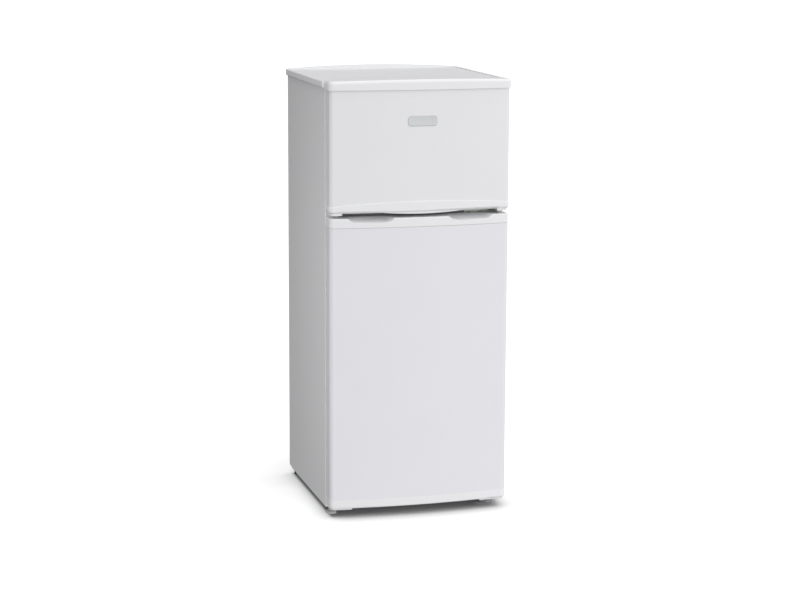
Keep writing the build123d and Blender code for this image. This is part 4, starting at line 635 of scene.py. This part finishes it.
@dataclass
class Cabinet:
    """The fixed shell: wrapper, panels, rails, worktop and hinges."""

    trees: Trees
    head_radius: float = 4.4 * MM
    head_height: float = 2.4 * MM
    flange_radius: float = 5.6 * MM
    top_from: float = 1.0  # screws above this level point up
    base_to: float = 0.1  # screws below this level point down

    def build(self) -> None:
        """Dress the shell and make the hinge screws."""
        dress(ENAMEL, "cabinet_shell")
        # the rail's grey partly paints the shade in the gap between the doors
        dress(RAIL_GREY_AND_SHADE, "centre_rail")
        dress(ZINC, "back_panel", "bay_panel", "base_rail", "base_plate")
        dress(WORKTOP_ABS, "worktop")
        dress(HINGE, "top_hinge", "middle_hinge", "lower_hinge")
        dress(FOAM, "insulation_foam", "freezer_door_foam", "fridge_door_foam")
        dress(ROLLED, "freezer_evaporator", "fridge_evaporator")
        dress(BLACK_PP, "rear_feet")
        self._screws()

    def _screws(self) -> None:
        """Set a flanged head on each hinge screw's seat."""
        seats: list[Point] = []
        aims: list[float] = []
        for low, high in self._islands(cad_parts["hinge_screws"].data):
            middle = (low + high) / 2
            if middle.z > self.top_from:
                aims += (0.0, 0.0, 1.0)
                seats.append((middle.x, middle.y, high.z - self.head_height))
            elif middle.z < self.base_to:
                aims += (0.0, 0.0, -1.0)
                seats.append((middle.x, middle.y, low.z + self.head_height))
            else:
                aims += (0.0, -1.0, 0.0)
                seats.append((middle.x, low.y + self.head_height, middle.z))
        seeds = bpy.data.meshes.new("screw_seats")
        seeds.from_pydata(seats, [], [])
        seeds.attributes.new("aim", "FLOAT_VECTOR", "POINT").data.foreach_set("vector", aims)
        heads = grow(
            "hinge_screw_heads", seeds, self.trees.screws, SCREW, Head=self.head_radius,
            Height=self.head_height, Flange=self.flange_radius,
        )
        seat(heads, Body.CABINET, "bolt_steel", "hinge_screws")

    @staticmethod
    def _islands(mesh: Mesh) -> list[tuple[Vector, Vector]]:
        """Return the lowest and highest corner of each separate solid in a mesh."""
        shape = bmesh.new()
        shape.from_mesh(mesh)
        bmesh.ops.remove_doubles(shape, verts=shape.verts, dist=MERGE)
        left = set(shape.verts)
        boxes = []
        while left:
            stack = [left.pop()]
            spots = []
            while stack:
                vert = stack.pop()
                spots.append(vert.co.copy())
                for edge in vert.link_edges:
                    other = edge.other_vert(vert)
                    if other in left:
                        left.remove(other)
                        stack.append(other)
            low = Vector(min(s[i] for s in spots) for i in range(3))
            high = Vector(max(s[i] for s in spots) for i in range(3))
            boxes.append((low, high))
        shape.free()
        return sorted(boxes, key=lambda b: tuple(round(c, 4) for c in b[0]))


@dataclass
class Doors:
    """Both doors: skins, caps, liners, seals, and the upper door's lip and plain plate."""

    bow: float = 0.017
    half_width: float = 0.250
    seal_width: float = 14.0 * MM
    seal_corner: float = 22.0 * MM
    seal_least_corner: float = 6.0 * MM
    seal_base: float = 2.2 * MM
    seal_base_edge: float = 0.6 * MM
    # Bellows folds: inset from the seal's edge and rise above its base, in millimetres
    seal_folds: tuple[Pair, ...] = ((3.6, 0.0), (2.4, 1.0), (4.0, 1.9), (2.2, 2.8))
    # Magnet bead: inset from the seal's edge and depth below its face, in millimetres
    seal_bead: tuple[Pair, ...] = ((1.4, 3.2), (1.0, 2.5), (1.0, 0.9), (1.9, 0.0))
    lip_half: float = 0.105
    lip_level: float = 0.840
    lip_drop: float = 4.5 * MM
    lip_root: float = 2.0 * MM
    lip_set_in: float = 1.5 * MM
    lip_round: float = 0.8 * MM
    lip_round_middle: float = 0.3  # share of the round, at the middle of its arc
    lip_steps: int = 16
    plate_centre: Pair = (0.0, 1.0845)
    plate_size: Pair = (0.081, 0.028)
    plate_corner: float = 8.0 * MM
    plate_rise: float = 1.2 * MM
    plate_sink: float = 0.2 * MM
    # Section of the plate's rim: inset in millimetres and share of the rise
    plate_rim: tuple[Pair, ...] = ((0.0, 0.6), (0.6, 0.9), (1.6, 1.0), (3.0, 1.0), (3.6, 0.75))

    def build(self) -> None:
        """Dress the doors and make the seals, the lower lip and the plate."""
        dress(ENAMEL, "freezer_door_skin")
        # the lower door's cooler copy of the enamel paints its light tone
        dress(PAINTED_LIGHT_DOOR_ENAMEL, "fridge_door_skin")
        for door in ("freezer_door", "fridge_door"):
            dress(CAP_ABS, f"{door}_top_cap", f"{door}_bottom_cap")
            dress(LINER, f"{door}_liner")
            dress(NYLON, f"{door}_bushes")
        dress(CLEAR, "balcony_upper", "balcony_middle", "bottle_balcony")
        dress(TRIM, "freezer_door_bar")
        self._seal("fridge_door_seal", Body.FRIDGE_DOOR, "fridge_door_gasket")
        self._seal("freezer_door_seal", Body.FREEZER_DOOR, "freezer_door_gasket")
        self._lip()
        self._plate()

    def _seal(self, name: str, body: Body, node: str) -> None:
        """Sweep the seal's section, with its bellows folds and magnet bead, round the door."""
        low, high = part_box(node)
        shape = bmesh.new()
        loops = []
        for inset, rise in self._section(high.y - low.y):
            outline = rounded_frame(
                (low.x, low.z), (high.x, high.z), inset,
                max(self.seal_corner - inset, self.seal_least_corner),
            )
            loops.append([shape.verts.new((x, low.y + rise, z)) for x, z in outline])
        bridge(shape, loops + loops[:1])
        seat(from_bmesh(name, shape, VINYL), body, "gasket_vinyl", node)

    def _section(self, depth: float) -> list[Pair]:
        """Return the seal's section as inset and rise pairs: base, two folds and a bead."""
        base, edge = self.seal_base, self.seal_base_edge
        outer = [(0.0, 0.0), (0.0, base - edge), (edge, base)]
        outer += [(inset * MM, base + rise * MM) for inset, rise in self.seal_folds]
        outer += [(inset * MM, depth - below * MM) for inset, below in self.seal_bead]
        return outer + [(self.seal_width - inset, rise) for inset, rise in reversed(outer)]

    def _front(self, x: float) -> float:
        """Return the depth of the upper door's face at a distance from the middle."""
        low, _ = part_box("freezer_door_skin")
        radius = (self.half_width**2 + self.bow**2) / (2 * self.bow)
        return low.y + radius - math.sqrt(radius**2 - x**2)

    def _lip(self) -> None:
        """Hang the shallow arched lip of the upper door's lower edge between the finger grips."""
        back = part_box("freezer_door_skin")[1].y
        top = self.lip_level + self.lip_root
        middle = self.lip_round_middle * self.lip_round
        shape = bmesh.new()
        rows = []
        for step in range(-self.lip_steps, self.lip_steps + 1):
            share = step / self.lip_steps
            x = share * self.lip_half
            front = self._front(x) + self.lip_set_in
            low = self.lip_level - self.lip_drop * (1 - share**2)
            section = (
                (back, top), (front, top), (front, low + self.lip_round),
                (front + middle, low + middle), (front + self.lip_round, low), (back, low),
            )
            rows.append([shape.verts.new((x, y, z)) for y, z in section])
        bridge(shape, rows, capped=True)
        seat(from_bmesh("door_lower_lip", shape, CAP_ABS), Body.FREEZER_DOOR, "cap_plastic")

    def _plate(self) -> None:
        """Lay a plain plate with a rounded edge on the bowed face, where a badge would be."""
        cx, cz = self.plate_centre
        half_x, half_z = self.plate_size[0] / 2, self.plate_size[1] / 2
        low, high = (cx - half_x, cz - half_z), (cx + half_x, cz + half_z)
        section = [(0.0, -self.plate_sink)]
        section += [(inset * MM, share * self.plate_rise) for inset, share in self.plate_rim]
        shape = bmesh.new()
        rows = []
        for inset, rise in section:
            outline = rounded_frame(low, high, inset, self.plate_corner - inset)
            rows.append([shape.verts.new((x, self._front(x) - rise, z)) for x, z in outline])
        bridge(shape, rows, capped=True)
        seat(from_bmesh("plain_door_plate", shape, SILVER), Body.FREEZER_DOOR, "hinge_steel")


@dataclass
class CoolingUnit:
    """The machine bay and the condenser on the back."""

    trees: Trees
    tube_y: float = 0.271725
    half: float = 0.200
    lead_x: float = 0.222
    low: float = 0.300
    pitch: float = 0.072
    passes: int = 11
    drop: float = 0.060
    tube_radius: float = 2.5 * MM
    bend: float = 0.030
    wire_radius: float = 0.75 * MM
    wire_half: float = 0.153
    wire_count: int = 25
    wire_end: float = 0.014
    wire_play: float = 0.05 * MM
    pipe_radius: float = 3.0 * MM
    pipe_bend: float = 0.014
    discharge_port: Pair = (0.188, 0.100)  # x and level where the pipe leaves the compressor
    liquid_level: float = 0.205  # the run from the condenser to the drier
    suction_x: float = -0.036
    suction_ahead: float = 0.036  # in front of the compressor's middle
    suction_port: Pair = (0.020, 0.144)  # x and level where the pipe enters the compressor
    capillary_radius: float = 1.5 * MM
    capillary_bend: float = 7.0 * MM
    capillary_drop: float = 0.022
    capillary_run: float = 0.040

    def build(self) -> None:
        """Dress the mouldings and the compressor, and make tubes, wires and pipes."""
        dress(BLACK_PAINT, "compressor")
        dress(RUBBER, "compressor_mounts")
        dress(SCREW, "compressor_bolts")
        dress(BLACK_PP, "relay_box", "drip_tray", "condenser_clips", "drain_spout")
        dress(COPPER, "filter_drier")
        self._coil()
        self._wires()
        self._pipes()

    def _coil(self) -> None:
        """Bend the condenser tube: a lead up, the passes from side to side, and a lead down."""
        end = self.low - self.drop
        route: list[Pair] = [(self.lead_x, end), (self.lead_x, self.low)]
        for index in range(self.passes):
            level = self.low + index * self.pitch
            side = -1 if index % 2 == 0 else 1
            if index > 0:
                route.append((-side * self.half, level))
            reach = self.lead_x if index == self.passes - 1 else self.half
            route.append((side * reach, level))
        route.append((-self.lead_x, end))
        tube = grow(
            "condenser_coil", path_mesh([[(x, self.tube_y, z) for x, z in route]]), self.trees.tube,
            BLACK_PAINT, Radius=self.tube_radius, Bend=self.bend, Steps=10, Sides=14,
        )
        seat(tube, Body.CABINET, "black_steel", "condenser_tube")

    def _wires(self) -> None:
        """Lay upright wires along both sides of the condenser tube's passes."""
        length = (self.passes - 1) * self.pitch + 2 * self.wire_end
        offset = self.tube_radius + self.wire_play + self.wire_radius
        wires = grow(
            "condenser_wire_fins", path_mesh([]), self.trees.row, BLACK_PAINT,
            Count=self.wire_count,
            Start=(-self.wire_half, self.tube_y + offset, self.low - self.wire_end + length / 2),
            Step=(2 * self.wire_half / (self.wire_count - 1), 0.0, 0.0),
            Stagger=(0.0, -2 * offset, 0.0), Radius=self.wire_radius, Length=length, Sides=8,
        )
        seat(wires, Body.CABINET, "black_steel", "condenser_wires")

    def _pipes(self) -> None:
        """Run the copper pipes between compressor, condenser, drier and the foam."""
        shell_low, shell_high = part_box("compressor")
        drier_low, drier_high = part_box("filter_drier")
        drier_x = (drier_low.x + drier_high.x) / 2
        drier_y = (drier_low.y + drier_high.y) / 2
        shell_y = (shell_low.y + shell_high.y) / 2
        suction_y = shell_y - self.suction_ahead
        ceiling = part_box("drain_spout")[1].z
        lead, back, level = self.lead_x, self.tube_y, self.liquid_level
        end = self.low - self.drop
        port_x, port_z = self.discharge_port
        discharge = [
            (port_x, shell_y, port_z), (lead, shell_y, port_z), (lead, back, port_z),
            (lead, back, end),
        ]
        liquid = [
            (-lead, back, end), (-lead, back, level), (-lead, drier_y, level),
            (drier_x, drier_y, level), (drier_x, drier_y, drier_high.z),
        ]
        port_x, port_z = self.suction_port
        suction = [
            (self.suction_x, suction_y, ceiling), (self.suction_x, suction_y, port_z),
            (port_x, suction_y, port_z),
        ]
        pipes = grow(
            "refrigerant_pipe_runs", path_mesh([discharge, liquid, suction]), self.trees.tube,
            COPPER, Radius=self.pipe_radius, Bend=self.pipe_bend, Steps=8, Sides=14,
        )
        seat(pipes, Body.CABINET, "copper", "refrigerant_pipes")
        under = drier_low.z - self.capillary_drop
        ahead = drier_y - self.capillary_run
        thin = [
            (drier_x, drier_y, drier_low.z), (drier_x, drier_y, under), (drier_x, ahead, under),
            (drier_x, ahead, ceiling),
        ]
        capillary = grow(
            "capillary_tube", path_mesh([thin]), self.trees.tube, COPPER,
            Radius=self.capillary_radius, Bend=self.capillary_bend, Steps=8, Sides=10,
        )
        seat(capillary, Body.CABINET, "copper")


@dataclass
class Interior:
    """What stands inside the two compartments."""

    trees: Trees
    rod_radius: float = 2.5 * MM
    rod_bend: float = 12.0 * MM
    rod_joint: float = 0.1 * MM  # gap where the rack frame's ends meet
    wire_radius: float = 1.5 * MM
    wire_count: int = 15
    tick_count: int = 11
    tick_ring: float = 20.0 * MM
    tick_size: Point = (2.8 * MM, 0.7 * MM, 0.2 * MM)
    tick_lift: float = 0.05 * MM
    tick_first: float = 225.0
    tick_sweep: float = -270.0
    neck: float = 6.8 * MM
    neck_play: float = 0.4 * MM
    neck_heights: Pair = (3.3, 3.6)  # in radii of the bulb
    # Shoulder of the bulb: radius and height, in radii of the bulb
    shoulder: tuple[Pair, ...] = ((0.96, 1.5), (0.82, 2.1), (0.64, 2.7))
    cap_height: float = 3.4  # where the screw cap starts, in radii of the bulb
    cap_rim: float = 0.6 * MM
    cap_end: float = 4.0 * MM  # left plain beyond the last thread
    thread_depth: float = 0.7 * MM
    thread_crest: float = 0.8 * MM
    thread_root: float = 2.2 * MM
    thread_pitch: float = 2.8 * MM
    contact: Pair = (3.5 * MM, 2.0 * MM)  # radii of the cap's end button
    contact_height: float = 1.0 * MM
    turned_steps: int = 32

    def build(self) -> None:
        """Dress liners, shelves and mouldings, and make rack, dial and lamp."""
        dress(LINER, "freezer_liner", "fridge_liner")
        dress(GLASS, "shelf_glass_upper", "shelf_glass_lower", "crisper_cover_glass")
        dress(TRIM, "shelf_trims", "thermostat_housing")
        dress(CLEAR, "crisper_drawer")
        dress(FROST, "lamp_cover")
        dress(GREY_ABS, "thermostat_knob", "door_switch_button")
        self._rack()
        self._dial()
        self._lamp()

    def _rack(self) -> None:
        """Bend the freezer rack's frame and lay its wires across it."""
        low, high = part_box("freezer_rack")
        z = (low.z + high.z) / 2
        x0, x1 = low.x + self.rod_radius, high.x - self.rod_radius
        y0, y1 = low.y + self.rod_radius, high.y - self.rod_radius
        corners = [(0.0, y0), (x1, y0), (x1, y1), (x0, y1), (x0, y0), (-self.rod_joint, y0)]
        rim = grow(
            "freezer_rack_frame", path_mesh([[(x, y, z) for x, y in corners]]), self.trees.tube,
            DIPPED_WIRE, Radius=self.rod_radius, Bend=self.rod_bend, Steps=8, Sides=12,
        )
        seat(rim, Body.CABINET, "rack_wire", "freezer_rack")
        step = (x1 - x0) / (self.wire_count + 1)
        wires = grow(
            "freezer_rack_wires", path_mesh([]), self.trees.row, DIPPED_WIRE, Count=self.wire_count,
            Start=(x0 + step, (y0 + y1) / 2, z), Step=(step, 0.0, 0.0),
            Turn=(math.radians(90), 0.0, 0.0), Radius=self.wire_radius, Length=y1 - y0, Sides=10,
        )
        seat(wires, Body.CABINET, "rack_wire")

    def _dial(self) -> None:
        """Print the thermostat's scale round its knob."""
        low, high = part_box("thermostat_knob")
        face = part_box("thermostat_housing")[0].x
        ticks = grow(
            "dial_ticks", path_mesh([]), self.trees.ring, INK, Count=self.tick_count,
            Centre=(face - self.tick_lift, (low.y + high.y) / 2, (low.z + high.z) / 2),
            Tilt=(math.radians(90), 0.0, math.radians(-90)), Ring=self.tick_ring,
            First=math.radians(self.tick_first), Sweep=math.radians(self.tick_sweep),
            Block=self.tick_size,
        )
        seat(ticks, Body.CABINET, "knob_plastic")

    def _lamp(self) -> None:
        """Blow the bulb and form its screw cap."""
        low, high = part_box("lamp_bulb")
        radius = (high.z - low.z) / 2
        length = high.y - low.y
        origin = Vector(((low.x + high.x) / 2, low.y, (low.z + high.z) / 2))
        along = Vector((0, 1, 0))
        glass = [(0.0, 0.0)]
        for step in range(1, CORNER_STEPS + 1):
            angle = math.radians(90.0 * step / CORNER_STEPS)
            glass.append((radius * math.sin(angle), radius * (1 - math.cos(angle))))
        glass += [(out * radius, rise * radius) for out, rise in self.shoulder]
        glass += [(self.neck - self.neck_play, rise * radius) for rise in self.neck_heights]
        blown = revolve(glass, origin, along, self.turned_steps)
        seat(from_bmesh("lamp_glass", blown, BULB), Body.CABINET, "bulb_glass", "lamp_bulb")
        height = self.cap_height * radius
        cap = [(self.neck - self.cap_rim, height)]
        while height + self.cap_end < length:
            cap.append((self.neck, height + self.thread_crest))
            cap.append((self.neck - self.thread_depth, height + self.thread_root))
            height += self.thread_pitch
        cap += [(self.contact[0], length - self.contact_height), (self.contact[1], length)]
        turned = revolve(cap, origin, along, self.turned_steps)
        seat(from_bmesh("lamp_screw_cap", turned, LAMP_CAP), Body.CABINET, "bolt_steel")


@dataclass
class Feet:
    """The two levelling feet at the front."""

    def build(self) -> None:
        """Dress the feet."""
        dress(GREY_PP, "front_foot_left")
        dress(DARK_PP, "front_foot_right")


@dataclass(frozen=True)
class Sun:
    """A broad soft light far away: direction to it, angle it fills, watts per square metre."""

    name: str
    towards: Point
    spread: float
    strength: float

    def hang(self) -> Object:
        """Return the hung light."""
        data = bpy.data.lights.new(self.name, "SUN")
        data.energy = self.strength
        data.angle = math.radians(self.spread)
        lamp = new_object(self.name, data)
        lamp.rotation_euler = (-Vector(self.towards)).to_track_quat("-Z", "Y").to_euler()
        return lamp


@dataclass(frozen=True)
class Strip:
    """A tall strip light on the left, facing the object: place of its middle, and watts."""

    name: str
    place: Point
    watts: float
    width: float = 0.08
    height: float = 1.6

    def hang(self) -> Object:
        """Return the hung light, which the camera does not see."""
        data = bpy.data.lights.new(self.name, "AREA")
        data.shape = "RECTANGLE"
        data.size, data.size_y = self.width, self.height
        data.energy = self.watts
        lamp = new_object(self.name, data)
        lamp.location = self.place
        lamp.rotation_euler = Vector((1, 0, 0)).to_track_quat("-Z", "Y").to_euler()
        lamp.visible_camera = False
        return lamp


@dataclass
class Studio:
    """Floor, backdrop, lights and the camera."""

    camera_place: Point = (-1.541, -5.547, 1.626)
    yaw: float = 15.79
    pitch: float = 10.52
    roll: float = -0.30
    focal_px: float = 2072.0
    image_width: int = 808
    sensor: float = 36.0
    sight: float = 400.0
    floor_half: float = 150.0
    backdrop_radius: float = 60.0
    backdrop_sides: int = 96
    # Left, right, near and far edge of the flag under the cabinet, and its height
    flag: tuple[float, ...] = (-0.247, 0.185, -0.236, 0.235, 0.008)
    sky: float = 0.22
    dome: Sun = Sun("dome", (0.47, -0.65, 0.6), 170.0, 3.24)
    wash: Sun = Sun("floor_wash", (0.0, -0.05, 1.0), 120.0, 5.9)
    side_fill: Strip = Strip("side_fill", (-0.95, -0.38, 0.5), 2.35)
    edge_fill: Strip = Strip("edge_fill", (-0.95, -0.08, 0.5), 2.1)
    shading: tuple[str, ...] = (
        "fridge_door_bottom_cap", "base_rail", "base_plate", "bay_panel", "lower_hinge",
        "front_foot_left", "front_foot_right", "rear_feet", "fridge_door_gasket",
    )
    sides: tuple[str, ...] = ("cabinet_shell", "worktop")
    edges: tuple[str, ...] = tuple(
        f"{door}_door_{part}"
        for door in ("freezer", "fridge")
        for part in ("skin", "top_cap", "bottom_cap")
    )

    def build(self) -> None:
        """Set the camera, lay the floor, stand the backdrop and hang the lights."""
        self._camera()
        floor = self._floor()
        self._backdrop()
        self._lights(floor)

    def _camera(self) -> None:
        """Stand the camera where the photograph was taken from."""
        data = bpy.data.cameras.new("camera")
        data.sensor_fit = "HORIZONTAL"
        data.sensor_width = self.sensor
        data.lens = self.focal_px / self.image_width * self.sensor
        data.clip_end = self.sight
        yaw, pitch, roll = (math.radians(v) for v in (self.yaw, self.pitch, self.roll))
        level = math.cos(pitch)
        ahead = Vector((math.sin(yaw) * level, math.cos(yaw) * level, -math.sin(pitch)))
        right = ahead.cross(Vector((0, 0, 1))).normalized()
        up = right.cross(ahead)
        tilted = right * math.cos(roll) - up * math.sin(roll)
        upright = up * math.cos(roll) + right * math.sin(roll)
        camera = new_object("camera", data)
        axes = Matrix((tilted, upright, -ahead)).transposed().to_4x4()
        camera.matrix_world = Matrix.Translation(self.camera_place) @ axes
        bpy.context.scene.camera = camera

    @staticmethod
    def _sheet(name: str, edges: Sequence[float], level: float) -> Object:
        """Return a flat rectangle, from its left, right, near and far edge and its height."""
        left, right, near, far = edges
        corners = [(left, near), (right, near), (right, far), (left, far)]
        mesh = bpy.data.meshes.new(name)
        mesh.from_pydata([(x, y, level) for x, y in corners], [], [(0, 1, 2, 3)])
        return new_object(name, mesh)

    @staticmethod
    def _hide(piece: Object, *rays: str) -> None:
        """Hide a piece of the studio from some kinds of ray."""
        for ray in rays:
            setattr(piece, f"visible_{ray}", False)

    def _floor(self) -> Object:
        """Return a plain pale floor that reaches past the picture's edges."""
        far = self.floor_half
        floor = self._sheet("floor", (-far, far, -far, far), 0.0)
        paint = plain_material(
            "plain_pale_floor", Base_Color=linear("#C4C4C4"), Roughness=0.9, Specular_IOR_Level=0.0
        )
        floor.data.materials.append(paint)
        self._hide(floor, "diffuse", "glossy")
        return floor

    def _backdrop(self) -> None:
        """Stand a plain white wall far around, for views so low that they pass the floor's edge."""
        far = self.backdrop_radius
        shape = bmesh.new()
        bmesh.ops.create_cone(
            shape, segments=self.backdrop_sides, radius1=far, radius2=far, depth=2 * far
        )
        mesh = bpy.data.meshes.new("backdrop")
        shape.to_mesh(mesh)
        shape.free()
        glow = plain_material(
            "plain_white_backdrop", Base_Color=linear("#000000"),
            Emission_Color=linear("#FFFFFF"), Emission_Strength=1.0,
        )
        mesh.materials.append(glow)
        wall = new_object("backdrop", mesh)
        self._hide(wall, "diffuse", "glossy", "transmission", "volume_scatter", "shadow")

    def _flag(self) -> Object:
        """Return a studio flag, seen by no camera, that deepens the shade under the cabinet."""
        flag = self._sheet("flag", self.flag[:4], self.flag[4])
        self._hide(flag, "camera", "diffuse", "glossy", "transmission", "volume_scatter")
        return flag

    def _lights(self, floor: Object) -> None:
        """Light the front softly, the sides less, and the floor to white."""
        scene = bpy.context.scene
        scene.view_settings.view_transform = "Standard"
        scene.world = bpy.data.worlds.new("studio")
        scene.world.use_nodes = True
        sky = scene.world.node_tree
        feed(sky, sky.nodes["Background"], Color=linear("#FFFFFF"), Strength=self.sky)
        dome, wash = self.dome.hang(), self.wash.hang()
        fill, trim = self.side_fill.hang(), self.edge_fill.hang()
        low_pieces = [self._flag()] + self._solids(self.shading)
        dome.light_linking.receiver_collection = self._group("dome_link", [floor], "EXCLUDE")
        wash.light_linking.receiver_collection = self._group("wash_link", [floor])
        wash.light_linking.blocker_collection = self._group("low_pieces", low_pieces)
        fill.light_linking.receiver_collection = self._group("sides", self._solids(self.sides))
        trim.light_linking.receiver_collection = self._group("edges", self._solids(self.edges))

    @staticmethod
    def _solids(names: Iterable[str]) -> list[Object]:
        """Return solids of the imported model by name."""
        return [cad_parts[name] for name in names]

    @staticmethod
    def _group(name: str, members: list[Object], state: str = "INCLUDE") -> Collection:
        """Return a group that a light reaches or passes by, or that shades it."""
        group = bpy.data.collections.new(name)
        for member in members:
            group.objects.link(member)
        for link in group.collection_objects:
            link.light_linking.link_state = state
        return group


def main() -> None:
    """Build the sub-assemblies in order, then the studio."""
    logging.basicConfig(level=logging.INFO, format="%(name)s: %(message)s")
    trees = Trees()
    assemblies = (Cabinet(trees), Doors(), CoolingUnit(trees), Interior(trees), Feet(), Studio())
    for assembly in assemblies:
        assembly.build()
        LOG.info("finished %s", type(assembly).__name__)


if __name__ == "__main__":
    main()
